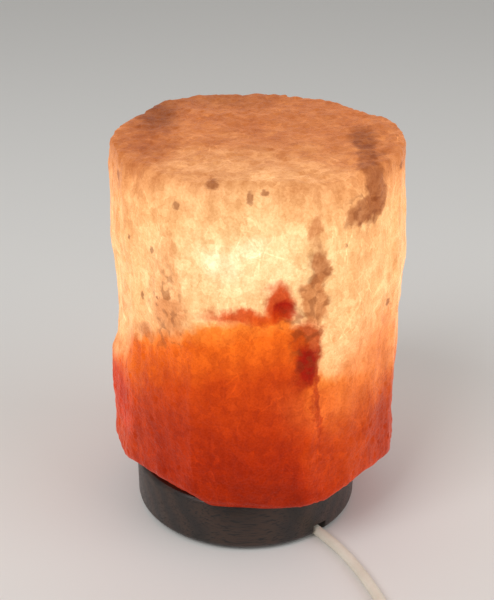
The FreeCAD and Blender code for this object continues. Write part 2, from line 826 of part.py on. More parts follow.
# From the nipple down and out of the channel, then over the floor to the switch.
INSIDE = [from_axis(0, 0, 30.6), from_axis(0, 0), from_axis(28.3, -33.7), from_axis(36.0, -43.6)]
TO_SWITCH = [
    from_axis(36.0, -43.6), from_axis(43.5, -53.3), from_axis(53.0, -71.9), from_axis(60.9, -94.1),
    V(62.5, -119.5, FLOOR), V(66, -146, FLOOR), V(67, -172, FLOOR), V(67, -198, FLOOR),
    V(63.6, -220.5, 2.7), V(55.2, -238.2, 3.6), V(43.6, -249.2, 5.4), SWITCH_RIGHT + STRAIGHT_END,
    SWITCH_RIGHT,
]
# From the switch round to the left side of the coil, without the coil's own first point.
TO_COIL = [
    SWITCH_LEFT, SWITCH_LEFT - STRAIGHT_END, V(-66.6, -248.4, 5.6), V(-76.2, -238.6, 4.4),
    V(-80.8, -225, 3.9), V(-81, -206.5, 3.8), V(-78, -187.8, 3.8), V(-74, -169, 3.8),
]
# From the end of the coil's upper layer down beside it and into the plug.
TO_PLUG = [
    V(-20, -114, COIL_HEIGHT + COIL_PITCH), V(-5, -116.1, 7.2), V(9.5, -121.5, 5.0), V(21.5, -131.5, 4.2),
    V(29, -145, 5.4), V(31, -158.5, PLUG_REAR.z), PLUG_REAR,
]


def coil_frame(turned_by):
    """Middle line of the coil after turning clockwise from its left side: a point and a direction."""
    reversal = COIL_TURNS * math.pi
    wound = min(turned_by, 2 * reversal - turned_by)
    radius = COIL_OUTER - COIL_PITCH * wound / (2 * math.pi)
    climb = min(max((turned_by - reversal) / math.pi + 0.5, 0), 1)
    slope = 2 * COIL_PITCH / (math.pi * radius) if 0.1 < climb < 0.9 else 0
    angle = math.pi - turned_by
    height = COIL_HEIGHT + COIL_PITCH * climb
    point = COIL_CENTRE + V(radius * math.cos(angle), radius * math.sin(angle), height)
    return point, V(math.sin(angle), -math.cos(angle), slope).normalize()


def coil_stops():
    """Angles between the coil's arcs: half turns, and quarter turns where it climbs and reverses."""
    reversal = COIL_TURNS * math.pi
    halves = int(COIL_TURNS - 0.5)
    inward = [reversal - math.pi * (0.5 + count) for count in range(halves, -1, -1)]
    outward = [2 * reversal - stop for stop in reversed(inward)]
    return [0.0] + inward + [reversal] + outward + [2 * reversal]


def coil_wire():
    """The whole coil: an inward spiral, a climb, an outward spiral above, and two short straight ends."""
    frames = [coil_frame(stop) for stop in coil_stops()]
    diameter = 2 * size("cord_radius")
    start, heading = frames[0]
    first = start - heading * diameter
    edges = [Part.LineSegment(first, start).toShape()]
    for (point, direction), (after, after_direction) in zip(frames, frames[1:]):
        edges += biarc(point, direction, after, after_direction)
    end, leaving = frames[-1]
    last = end + leaving * diameter
    edges.append(Part.LineSegment(end, last).toShape())
    return Part.Wire(edges), first, heading, last


def least_gap(wire, diameter):
    """Least clear distance between turns, on points of the middle line over half a turn apart."""
    step = 2.0
    points = wire.discretize(Distance=step)
    skip = int(math.pi * (COIL_OUTER / 2) / step)
    return min(
        (one - other).Length
        for index, one in enumerate(points)
        for other in points[index + skip:]
    ) - diameter


def cord_coil():
    wire, first, heading, last = coil_wire()
    radius = size("cord_radius")
    solid = pipe(wire, first, heading, radius, CORD_SIDES)
    expected = section_area(radius, CORD_SIDES) * wire.Length
    print("cord_coil: length %.1f mm, volume ratio %.4f, least gap to itself %.2f mm"
          % (wire.Length, solid.Volume / expected, least_gap(wire, 2 * radius)))
    node("cord_coil", shaped("coil", solid))
    return first, last


def cords():
    cord_stretch("inner_lead", INSIDE)
    cord_stretch("cord_to_switch", TO_SWITCH)
    coil_first, coil_last = cord_coil()
    cord_stretch("cord_to_coil", TO_COIL + [coil_first])
    cord_stretch("cord_to_plug", [coil_last] + TO_PLUG)


def cord_tie():
    """A flat band round all the turns of the coil at one place."""
    radius = size("cord_radius")
    inner_reach = COIL_OUTER - COIL_PITCH * COIL_TURNS / 2 - radius - 0.4
    outer_reach = COIL_OUTER + radius + 0.4
    bottom, top = COIL_HEIGHT - radius - 0.2, COIL_HEIGHT + COIL_PITCH + radius + 0.3
    width, skin = size("tie_width"), size("tie_thickness")
    opening = Part.makeBox(outer_reach - inner_reach, width, top - bottom, V(inner_reach, -width / 2, bottom))
    band = Part.makeBox(
        outer_reach - inner_reach + 2 * skin, width, top - bottom + 2 * skin,
        V(inner_reach - skin, -width / 2, bottom - skin),
    )
    corners = [edge for edge in band.Edges if abs(edge.Length - width) < 1e-6]
    band = band.makeChamfer(skin, corners).cut(opening)
    tie = shaped("tie_band", band)
    tie.Placement = FreeCAD.Placement(COIL_CENTRE, FreeCAD.Rotation(V(0, 0, 1), TIE_DIRECTION))
    node("cord_tie", tie)


# ---------------------------------------------------------------- in-line switch

def at_switch(item):
    return place(item, x=SWITCH_MIDDLE.x, y=SWITCH_MIDDLE.y)


def switch_outline(inset):
    """Twelve corners of the switch seen from above, moved in by the inset."""
    quarter = [
        ("switch_half_length - %s" % inset, "switch_end_half_width"),
        ("switch_cheek_along - %s" % inset, "switch_cheek_across - %s" % inset),
        ("switch_shoulder - %s" % inset, "switch_half_width - %s" % inset),
    ]
    corners = quarter + [("0 - (%s)" % x, y) for x, y in reversed(quarter)]
    return corners + [("0 - (%s)" % x, "0 - (%s)" % y) for x, y in corners]


def level(height):
    return lambda edge: abs(edge.BoundBox.ZMin - height) < 1e-6 and abs(edge.BoundBox.ZMax - height) < 1e-6


def switch_shell(name, bottom, top, hollow_bottom, hollow_top, rim_height):
    """Half of the switch's case: a padded outline, rounded, and hollowed out from the parting face."""
    body = padded(name, switch_outline(0), bottom, "(%s) - (%s)" % (top, bottom))
    bevelled(body, "switch_bevel", level(size(rim_height)))
    pocket(body, switch_outline("switch_wall"), hollow_bottom, "(%s) - (%s)" % (hollow_top, hollow_bottom))
    return at_switch(body)


def switch_rod(name, radius, bottom, top, across, along):
    return prism(name, SMALL_SIDES, radius, bottom, top, SWITCH_MIDDLE.x + across, SWITCH_MIDDLE.y + along)


def switch_box(name, low, high):
    item = box(name, low, high)
    x, y, z = low
    return place(item, "%s + (%s)" % (SWITCH_MIDDLE.x, x), "%s + (%s)" % (SWITCH_MIDDLE.y, y), z)


def switch_case():
    across, along = size("switch_screw_across"), size("switch_screw_along")
    parting, wall = "switch_parting_height", "switch_wall"
    lower = switch_shell("lower", 0, parting, wall, parting, 0)
    top = "switch_height"
    upper = switch_shell("upper", parting, top, parting, top + " - switch_wall", top)
    lower_parts, upper_parts, lower_cuts, upper_cuts, screws = [lower], [upper], [], [], []
    for side in (-1, 1):
        x, y = across * side, along * side
        boss, shank = "case_boss_radius", "case_screw_radius"
        head, sink = "case_head_radius", "case_sink_depth"
        lower_parts.append(switch_rod("lower_boss_%d" % side, boss, wall + " - 0.2", parting, x, y))
        upper_parts.append(switch_rod("upper_boss_%d" % side, boss, parting, "switch_height - 1", x, y))
        lower_cuts.append(switch_rod("lower_hole_%d" % side, shank + " + 0.2", -1, parting + " + 1", x, y))
        lower_cuts.append(switch_rod("lower_sink_%d" % side, head + " + 0.2", -1, sink, x, y))
        upper_cuts.append(switch_rod("upper_hole_%d" % side, shank, parting, "switch_height - 2", x, y))
        screw_shank = switch_rod("case_screw_%d" % side, shank, 0.3, "switch_height - 2.4", x, y)
        screw_head = switch_rod("case_head_%d" % side, head, 0.3, sink, x, y)
        screws.append(joined("case_screw_solid_%d" % side, screw_shank, screw_head))
        post = "switch_shoulder - 11"
        low_x, high_x = (post, post + " + 4") if side > 0 else ("0 - (%s) - 4" % post, "0 - (%s)" % post)
        lower_parts.append(switch_box("post_%d" % side, (low_x, -4, wall + " - 0.2"), (high_x, 2, 5)))
        lug = (6.4, 8.2) if side > 0 else (-8.2, -6.4)
        upper_parts.append(switch_box(
            "lug_%d" % side, (-2.6, lug[0], 8.6), (2.6, lug[1], "switch_height - 1"),
        ))
    window = switch_box(
        "window", ("0 - window_half_length", "0 - window_half_width", "switch_height - 3"),
        ("window_half_length", "window_half_width", "switch_height + 3"),
    )
    pin = switch_pin("pin_seat", "rocker_pin_radius")
    node("switch_lower_shell", less("lower_case", joined("lower_solid", *lower_parts), *lower_cuts))
    upper_cuts += [window, pin]
    node("switch_upper_shell", less("upper_case", joined("upper_solid", *upper_parts), *upper_cuts))
    node("switch_screws", together("case_screws", screws))


def switch_pin(name, radius):
    pin = primitive("Cylinder", name, Radius=radius, Height="rocker_pin_length")
    front = "%s - rocker_pin_length / 2" % SWITCH_MIDDLE.y
    return lying(pin, V(0, 1, 0), SWITCH_MIDDLE.x, front, "rocker_pivot_height")


def switch_rocker():
    """A rocker with a shallow V top on a steel pin; at rest its right end is pressed down."""
    half, width = size("rocker_half_length"), size("rocker_width")
    section = [
        V(-half, 0, 1), V(-half, 0, 3.6), V(0, 0, 2.4), V(half, 0, 3.6), V(half, 0, 1),
        V(4, 0, -2.5), V(-4, 0, -2.5),
    ]
    solid = Part.Face(Part.makePolygon(section + section[:1])).extrude(V(0, width, 0))
    solid.translate(V(0, -width / 2, 0))
    solid = solid.makeChamfer(0.5, [edge for edge in solid.Edges if edge.CenterOfMass.z > 3.5])
    bore = Part.makeCylinder(size("rocker_pin_radius") + 0.05, 2 * width, V(0, -width, 0), V(0, 1, 0))
    rocker = shaped("rocker", solid.cut(bore))
    pivot = V(SWITCH_MIDDLE.x, SWITCH_MIDDLE.y, size("rocker_pivot_height"))
    rocker.Placement = FreeCAD.Placement(pivot, FreeCAD.Rotation(V(0, 1, 0), size("rocker_tilt")))
    node("switch_rocker", rocker)
    node("rocker_pin", switch_pin("rocker_rod", "rocker_pin_radius"))


def switch_contacts():
    """Two brass tongues on their posts, which the rocker bridges, with a terminal screw in each."""
    tongues = []
    for side in (-1, 1):
        x = (1.5, 17) if side > 0 else (-17, -1.5)
        tongues.append(switch_box("tongue_%d" % side, (x[0], -3.5, 5), (x[1], 1.5, 5.7)))
        screw = switch_rod("tongue_screw_%d" % side, 1.8, 5.7, 7.0, 12 * side, -1)
        tongues[-1] = joined("contact_%d" % side, tongues[-1], screw)
    node("switch_contacts", together("contacts", tongues))


# ---------------------------------------------------------------- plug

def plug_section(width, thickness, corner, along):
    """A rectangle with cut corners across the plug's axis, at a distance along it from its cord end."""
    half, rise = width / 2, thickness / 2
    quarter = [(half, rise - corner), (half - corner, rise)]
    loop = quarter + [(-x, z) for x, z in reversed(quarter)]
    loop += [(-x, -z) for x, z in loop]
    return [V(PLUG_REAR.x + x, PLUG_REAR.y - along, PLUG_REAR.z + z) for x, z in loop]


def at_pin(item, start, side):
    """Lays an upright primitive along the plug's axis, at one of the two pins."""
    return lying(
        item, V(0, -1, 0), "%s + (%d) * plug_pin_spacing / 2" % (PLUG_REAR.x, side),
        "%s - (%s)" % (PLUG_REAR.y, start), "plug_thickness / 2",
    )


def plug_rod(name, radius, start, length, side):
    return at_pin(primitive("Cylinder", name, Radius=radius, Height=length), start, side)


def plug_prism(name, radius, start, length, side):
    return at_pin(prism(name, SMALL_SIDES, radius, "0", length), start, side)


def plug():
    """A moulded two-pin plug lying flat: cord neck, flared body, two part-sleeved pins."""
    width, thickness, length = size("plug_width"), size("plug_thickness"), size("plug_length")
    sections = [
        plug_section(7.6, 7.6, 2.2, 0), plug_section(9.6, 9.6, 2.8, 12), plug_section(15, 11.5, 3.2, 17),
        plug_section(31, thickness, 3.6, 27), plug_section(width, thickness, 3.6, length - 3),
        plug_section(width - 2, thickness - 2, 3, length),
    ]
    body = shaped("plug_solid", faceted(sections))
    seats, pins, sleeves = [], [], []
    for side in (-1, 1):
        seat = "plug_length - pin_seat_depth"
        reach = "pin_seat_depth + pin_sleeve_length"
        seats.append(plug_prism("pin_seat_%d" % side, "pin_core_radius", seat, "pin_seat_depth + 1", side))
        core = plug_prism("pin_core_%d" % side, "pin_core_radius", seat, reach + " + 2", side)
        bare, bare_length = "plug_length + pin_sleeve_length", "plug_pin_length - pin_sleeve_length"
        blade = plug_rod("pin_blade_%d" % side, "plug_pin_radius", bare, bare_length, side)
        pins.append(joined("pin_%d" % side, core, blade))
        front, cover_length = "plug_length", "pin_sleeve_length"
        cover = plug_prism("sleeve_%d" % side, "plug_pin_radius", front, cover_length, side)
        bore = plug_prism("sleeve_bore_%d" % side, "pin_core_radius", front, cover_length, side)
        sleeves.append(less("pin_sleeve_%d" % side, cover, bore))
    node("plug_body", less("plug_moulding", body, *seats))
    node("plug_pins", together("pins", pins))
    node("pin_sleeves", together("sleeves", sleeves))


def build_all():
    base_pads()
    wooden_base()
    crystal_screws()
    salt_crystal()
    holder_plate()
    spring_clips()
    nipple_and_nut()
    lamp_holder()
    contact_and_terminals()
    lead_cores()
    bulb()
    cords()
    cord_tie()
    switch_case()
    switch_rocker()
    switch_contacts()
    plug()


build_all()
doc.recompute()

# ---------------------------------------------------------------- checks and files

for item in doc.Objects:
    if "Invalid" in item.State or "Error" in item.State:
        raise RuntimeError("%s is in state %s" % (item.Label, item.State))
for label, item in nodes.items():
    if item.Shape.isNull() or not item.Shape.isValid() or item.Shape.Volume <= 0:
        raise RuntimeError("%s has no valid solid" % label)

os.makedirs("parts", exist_ok=True)
for label, item in nodes.items():
    item.Shape.exportStep("parts/%s.step" % label)
print("%d sub-parts written" % len(nodes))
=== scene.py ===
import bpy
import math
import json
import numpy as np
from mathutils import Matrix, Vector, noise

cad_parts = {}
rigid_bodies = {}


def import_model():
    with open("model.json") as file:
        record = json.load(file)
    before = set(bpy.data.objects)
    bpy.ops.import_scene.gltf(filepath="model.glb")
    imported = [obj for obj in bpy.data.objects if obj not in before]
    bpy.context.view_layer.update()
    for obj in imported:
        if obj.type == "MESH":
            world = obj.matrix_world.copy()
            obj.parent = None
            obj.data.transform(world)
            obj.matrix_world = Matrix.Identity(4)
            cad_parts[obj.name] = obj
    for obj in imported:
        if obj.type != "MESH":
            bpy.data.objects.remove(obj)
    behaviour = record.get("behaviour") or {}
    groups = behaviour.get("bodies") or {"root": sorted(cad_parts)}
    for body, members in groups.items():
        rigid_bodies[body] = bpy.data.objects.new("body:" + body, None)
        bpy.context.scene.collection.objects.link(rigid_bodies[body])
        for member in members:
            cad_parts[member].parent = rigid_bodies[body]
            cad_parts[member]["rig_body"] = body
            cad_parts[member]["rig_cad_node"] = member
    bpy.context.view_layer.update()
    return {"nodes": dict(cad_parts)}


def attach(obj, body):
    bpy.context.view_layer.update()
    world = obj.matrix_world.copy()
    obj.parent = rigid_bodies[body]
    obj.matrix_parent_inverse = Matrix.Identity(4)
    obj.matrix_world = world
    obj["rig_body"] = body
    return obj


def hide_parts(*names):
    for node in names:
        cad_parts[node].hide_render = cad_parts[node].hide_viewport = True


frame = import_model()
scene = bpy.context.scene

# ---- Room
# A plain pale floor with soft studio light, and the camera in front of the lamp and a little above
# it, tipped down.

camera_data = bpy.data.cameras.new("camera")
camera_data.lens = 57.0
camera_data.sensor_width = 36.0
camera_data.clip_start = 0.01
camera = bpy.data.objects.new("camera", camera_data)
scene.collection.objects.link(camera)
tipped_down = 23.1
camera.location = (-0.0044, -0.436, 0.2956)
camera.rotation_euler = (math.radians(90 - tipped_down), 0, 0)
scene.camera = camera
scene.view_settings.view_transform = "Standard"

world = bpy.data.worlds.new("studio")
world.use_nodes = True
sky = world.node_tree.nodes["Background"]
sky.inputs["Color"].default_value = (1.0, 0.99, 0.97, 1)
sky.inputs["Strength"].default_value = 0.45
scene.world = world


def soft_lamp(name, place, aim, width, watts):
    data = bpy.data.lights.new(name, "AREA")
    data.shape = "SQUARE"
    data.size = width
    data.energy = watts
    lamp = bpy.data.objects.new(name, data)
    scene.collection.objects.link(lamp)
    lamp.location = place
    lamp.rotation_euler = (Vector(aim) - Vector(place)).to_track_quat("-Z", "Y").to_euler()


lamp_middle = (0, 0, 0.08)
soft_lamp("key_lamp", (-0.9, -1.1, 1.5), lamp_middle, 1.0, 16)
soft_lamp("fill_lamp", (1.3, -0.7, 0.9), lamp_middle, 1.2, 7)

bpy.ops.mesh.primitive_plane_add(size=40, location=(0, 0, 0))
floor = bpy.context.object
floor.name = "floor"
floor_finish = bpy.data.materials.new("floor_finish")
floor_finish.use_nodes = True
floor_shader = floor_finish.node_tree.nodes["Principled BSDF"]
floor_shader.inputs["Base Color"].default_value = (0.82, 0.81, 0.79, 1)
floor_shader.inputs["Roughness"].default_value = 0.9
floor.data.materials.append(floor_finish)

# ---- Wooden base
# A disc of hardwood turned on a lathe, stained nearly black and oiled. A hole for the bulb, a recess
# under it for the light unit, a channel for the cord and three counterbored screw holes are cut in.

mm = 0.001
lamp_x = -0.005
screw_circle, screw_angles = 43, (30, 150, 270)
cord_way = math.radians(-50)


def linear(red, green, blue):
    """A colour given in display values from 0 to 255."""
    def light(value):
        value /= 255
        return value / 12.92 if value <= 0.04045 else ((value + 0.055) / 1.055) ** 2.4
    return (light(red), light(green), light(blue), 1)


def picked(piece):
    """The piece alone selected, and active."""
    bpy.ops.object.select_all(action="DESELECT")
    bpy.context.view_layer.objects.active = piece
    piece.select_set(True)


def in_edit_mode(piece):
    picked(piece)
    bpy.ops.object.mode_set(mode="EDIT")
    bpy.ops.mesh.select_all(action="SELECT")


def turned(name, sides, rings, closed=False, x=lamp_x / mm, y=0.0):
    """A piece turned on a lathe, in mm: a ring of points drawn up through each (radius, height).
    A closed piece is a tube whose last ring meets its first."""
    radius, height = rings[0]
    bpy.ops.object.select_all(action="DESELECT")
    bpy.ops.mesh.primitive_circle_add(
        vertices=sides, radius=radius * mm, fill_type="NOTHING" if closed else "NGON",
        location=(x * mm, y * mm, height * mm),
    )
    piece = bpy.context.object
    piece.name = name
    in_edit_mode(piece)
    for next_radius, next_height in rings[1:] + (rings[:1] if closed else []):
        rise = (0, 0, (next_height - height) * mm)
        bpy.ops.mesh.extrude_region_move(TRANSFORM_OT_translate={"value": rise})
        share = next_radius / radius
        centre = (x * mm, y * mm, next_height * mm)
        bpy.ops.transform.resize(value=(share, share, 1), center_override=centre)
        radius, height = next_radius, next_height
    bpy.ops.mesh.select_all(action="SELECT")
    bpy.ops.mesh.remove_doubles(threshold=0.000001)
    bpy.ops.mesh.normals_make_consistent(inside=False)
    bpy.ops.object.mode_set(mode="OBJECT")
    bpy.ops.object.transform_apply(location=True, rotation=True, scale=True)
    return piece


def finished(piece, body, material, bevel=0.0, segments=2, smooth=40):
    """Edges broken, faces smoothed, placed at the origin, riding on its body in its own finish."""
    picked(piece)
    bpy.ops.object.transform_apply(location=True, rotation=True, scale=True)
    if bevel:
        rounding = piece.modifiers.new("broken_edges", "BEVEL")
        rounding.width = bevel * mm
        rounding.segments = segments
        rounding.limit_method = "ANGLE"
        rounding.angle_limit = math.radians(30)
        bpy.ops.object.modifier_apply(modifier="broken_edges")
    bpy.ops.object.shade_smooth_by_angle(angle=math.radians(smooth))
    piece.data.materials.clear()
    piece.data.materials.append(material)
    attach(piece, body)


def cut(piece, cutter):
    """Takes the cutter out of the piece."""
    picked(piece)
    saw = piece.modifiers.new("cut", "BOOLEAN")
    saw.operation = "DIFFERENCE"
    saw.solver = "EXACT"
    saw.object = cutter
    bpy.ops.object.modifier_apply(modifier="cut")
    bpy.data.objects.remove(cutter)


def new_material(name, colour, roughness, metallic=0.0):
    """A material, its nodes, its links and its shader."""
    material = bpy.data.materials.new(name)
    material.use_nodes = True
    shader = material.node_tree.nodes["Principled BSDF"]
    shader.inputs["Base Color"].default_value = colour
    shader.inputs["Roughness"].default_value = roughness
    shader.inputs["Metallic"].default_value = metallic
    return material, material.node_tree.nodes, material.node_tree.links, shader


def add_node(nodes, kind, values=None, **settings):
    """A node with its settings and the values of its inputs."""
    node = nodes.new(kind)
    for name, value in settings.items():
        setattr(node, name, value)
    for name, value in (values or {}).items():
        node.inputs[name].default_value = value
    return node


def join(links, pairs):
    """Links each output to its input."""
    for output, into in pairs:
        links.new(output, into)


def mottle_group():
    """Uneven colour, roughness and height of a worn surface, from noise at one scale."""
    group = bpy.data.node_groups.new("mottle", "ShaderNodeTree")
    for name, kind, value in (
        ("Place", "NodeSocketVector", None), ("Scale", "NodeSocketFloat", 100.0),
        ("Dark", "NodeSocketColor", (0.1, 0.1, 0.1, 1)), ("Light", "NodeSocketColor", (0.2, 0.2, 0.2, 1)),
        ("Smoothest", "NodeSocketFloat", 0.3), ("Roughest", "NodeSocketFloat", 0.5),
    ):
        socket = group.interface.new_socket(name, in_out="INPUT", socket_type=kind)
        if value is not None:
            socket.default_value = value
    for name, kind in (
        ("Color", "NodeSocketColor"), ("Roughness", "NodeSocketFloat"), ("Height", "NodeSocketFloat"),
    ):
        group.interface.new_socket(name, in_out="OUTPUT", socket_type=kind)
    nodes = group.nodes
    source = nodes.new("NodeGroupInput")
    sink = nodes.new("NodeGroupOutput")
    cloud = add_node(nodes, "ShaderNodeTexNoise", {"Detail": 4, "Roughness": 0.6})
    spread = add_node(nodes, "ShaderNodeMapRange", {"From Min": 0.32, "From Max": 0.68})
    tint = add_node(nodes, "ShaderNodeMix", data_type="RGBA")
    sheen = nodes.new("ShaderNodeMix")
    join(group.links, (
        (source.outputs["Place"], cloud.inputs["Vector"]),
        (source.outputs["Scale"], cloud.inputs["Scale"]),
        (cloud.outputs[0], spread.inputs["Value"]),
        (spread.outputs["Result"], tint.inputs[0]),
        (source.outputs["Dark"], tint.inputs[6]),
        (source.outputs["Light"], tint.inputs[7]),
        (spread.outputs["Result"], sheen.inputs[0]),
        (source.outputs["Smoothest"], sheen.inputs[2]),
        (source.outputs["Roughest"], sheen.inputs[3]),
        (tint.outputs[2], sink.inputs["Color"]),
        (sheen.outputs[0], sink.inputs["Roughness"]),
        (cloud.outputs[0], sink.inputs["Height"]),
    ))
    return group


mottle = mottle_group()


def mottled(name, dark, light, scale, roughness, metallic=0.0, bump=0.0, stretch=(1, 1, 1)):
    """A material with the mottle on its colour, its sheen and its relief. Scale is per metre."""
    material, nodes, links, shader = new_material(name, light, roughness[0], metallic)
    place = nodes.new("ShaderNodeTexCoord")
    grain = add_node(nodes, "ShaderNodeMapping", {"Scale": stretch})
    uneven = nodes.new("ShaderNodeGroup")
    uneven.node_tree = mottle
    for socket, value in (
        ("Scale", scale), ("Dark", dark), ("Light", light),
        ("Smoothest", roughness[0]), ("Roughest", roughness[1]),
    ):
        uneven.inputs[socket].default_value = value
    join(links, (
        (place.outputs["Object"], grain.inputs["Vector"]),
        (grain.outputs[0], uneven.inputs["Place"]),
        (uneven.outputs["Color"], shader.inputs["Base Color"]),
        (uneven.outputs["Roughness"], shader.inputs["Roughness"]),
    ))
    if bump:
        relief = add_node(nodes, "ShaderNodeBump", {"Strength": 0.6, "Distance": bump * mm})
        links.new(uneven.outputs["Height"], relief.inputs["Height"])
        links.new(relief.outputs[0], shader.inputs["Normal"])
    return material


wood, nodes, links, shader = new_material("stained_wood", (0.03, 0.017, 0.01, 1), 0.42)
shader.inputs["Coat Weight"].default_value = 0.12
shader.inputs["Coat Roughness"].default_value = 0.3
place = nodes.new("ShaderNodeTexCoord")
along_grain = add_node(nodes, "ShaderNodeMapping", {"Rotation": (0, 0, 0.35), "Scale": (0.07, 1, 1)})
rings = add_node(
    nodes, "ShaderNodeTexWave", {"Scale": 42, "Distortion": 5, "Detail": 3, "Detail Scale": 1.2},
    wave_type="RINGS", rings_direction="X",
)
pores = add_node(nodes, "ShaderNodeTexNoise", {"Scale": 1500, "Detail": 3})
figure = add_node(nodes, "ShaderNodeMix", {6: linear(30, 19, 14), 7: linear(57, 37, 25)}, data_type="RGBA")
pore_share = add_node(nodes, "ShaderNodeMapRange", {"From Min": 0.36, "From Max": 0.5})
darker = add_node(nodes, "ShaderNodeMix", {6: linear(17, 11, 8)}, data_type="RGBA")
sheen = add_node(nodes, "ShaderNodeMapRange", {"To Min": 0.6, "To Max": 0.36})
height = add_node(nodes, "ShaderNodeMath", {1: 0.4}, operation="MULTIPLY_ADD")
relief = add_node(nodes, "ShaderNodeBump", {"Strength": 0.5, "Distance": 0.12 * mm})
join(links, (
    (place.outputs["Object"], along_grain.inputs["Vector"]),
    (along_grain.outputs[0], rings.inputs["Vector"]),
    (along_grain.outputs[0], pores.inputs["Vector"]),
    (rings.outputs["Fac"], figure.inputs[0]),
    (pores.outputs[0], pore_share.inputs["Value"]),
    (pore_share.outputs["Result"], darker.inputs[0]),
    (figure.outputs[2], darker.inputs[7]),
    (darker.outputs[2], shader.inputs["Base Color"]),
    (pore_share.outputs["Result"], sheen.inputs["Value"]),
    (sheen.outputs["Result"], shader.inputs["Roughness"]),
    (rings.outputs["Fac"], height.inputs[0]),
    (pore_share.outputs["Result"], height.inputs[2]),
    (height.outputs[0], relief.inputs["Height"]),
    (relief.outputs[0], shader.inputs["Normal"]),
))

base = turned("turned_base", 144, [
    (36, 1.5), (54.8, 1.5), (56.3, 2.2), (57.2, 3.4), (57.5, 4.8), (57.5, 25.3), (57.1, 26.5), (56, 27.5),
    (26, 27.5), (26, 16), (36, 16),
], closed=True)
channel_length = 0.067
bpy.ops.mesh.primitive_cube_add(size=1, location=(
    lamp_x + channel_length / 2 * math.cos(cord_way), channel_length / 2 * math.sin(cord_way), 0.0025,
))
channel = bpy.context.object
channel.scale = (channel_length, 0.008, 0.010)
channel.rotation_euler = (0, 0, cord_way)
cut(base, channel)
screw_places = [
    (
        lamp_x / mm + screw_circle * math.cos(math.radians(angle)),
        screw_circle * math.sin(math.radians(angle)),
    )
    for angle in screw_angles
]
for screw_x, screw_y in screw_places:
    cut(base, turned("screw_hole", 32, [
        (4.8, 0), (4.8, 9.5), (2.3, 9.5), (2.3, 30),
    ], x=screw_x, y=screw_y))
finished(base, "crystal_on_base", wood, bevel=0.35)
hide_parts("wooden_base")

# ---- Rubber feet
# Three round pads of black rubber, glued to the underside, that hold the wood off the table.

rubber = mottled("rubber", (0.012, 0.012, 0.012, 1), (0.03, 0.029, 0.028, 1), 900, (0.75, 0.9), bump=0.05)
foot_circle = 45.5
between_screws = (90, 210, 330)
for number, angle in enumerate(between_screws):
    foot_x = lamp_x / mm + foot_circle * math.cos(math.radians(angle))
    foot_y = foot_circle * math.sin(math.radians(angle))
    foot = turned("rubber_foot_%d" % number, 40, [(5.7, 0), (6, 0.3), (6, 1.5)], x=foot_x, y=foot_y)
    finished(foot, "crystal_on_base", rubber, bevel=0.12)
    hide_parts("base_pads")

# ---- Screws and wall plugs
# Three pan-head wood screws go up through the base into ribbed plastic plugs, which grip the salt.

zinc = mottled(
    "zinc_plating", (0.42, 0.42, 0.44, 1), (0.66, 0.66, 0.67, 1), 260, (0.24, 0.42), 1.0, bump=0.02,
)
grey_plastic = mottled("plug_plastic_grey", (0.26, 0.26, 0.25, 1), (0.36, 0.36, 0.35, 1), 300, (0.5, 0.65))
thread_pitch = 2.2
thread = []
for turn in range(12):
    start = 12 + thread_pitch * turn
    thread += [(1.5, start), (2.0, start + 0.9), (1.5, start + 1.4)]
for number, (screw_x, screw_y) in enumerate(screw_places):
    screw = turned("screw_%d" % number, 32, [
        (2.6, 6.9), (3.4, 7.15), (3.9, 7.9), (4, 8.8), (3.9, 9.5), (1.5, 9.5),
    ] + thread + [(1.4, 40.5), (0.4, 42.9)], x=screw_x, y=screw_y)
    bpy.ops.mesh.primitive_cube_add(size=1, location=(screw_x * mm, screw_y * mm, 0.0072))
    slot_cutter = bpy.context.object
    slot_cutter.scale = (0.010, 0.001, 0.0012)
    cut(screw, slot_cutter)
    finished(screw, "crystal_on_base", zinc)
    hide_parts("crystal_screws")
frame["nodes"]["crystal_plugs"].data.materials[0] = grey_plastic

# ---- Salt crystal
# A block of rock salt, split from the seam and hewn by hand, then drilled from below for the bulb.
# It is screwed to the base. Cloudy salt glows cream; iron stains it orange and red lower down.

block = frame["nodes"]["salt_crystal"].copy()
block.data = frame["nodes"]["salt_crystal"].data.copy()
block.name = "hewn_salt"
block.parent = None
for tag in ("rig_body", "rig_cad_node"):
    if tag in block:
        del block[tag]
scene.collection.objects.link(block)
in_edit_mode(block)
bpy.ops.mesh.remove_doubles(threshold=0.00001)
bpy.ops.object.mode_set(mode="OBJECT")
remesh = block.modifiers.new("grain", "REMESH")
remesh.mode = "VOXEL"
remesh.voxel_size = 0.00125
bpy.ops.object.modifier_apply(modifier="grain")
soften = block.modifiers.new("worn_edges", "SMOOTH")
soften.factor = 0.5
soften.iterations = 3
bpy.ops.object.modifier_apply(modifier="worn_edges")

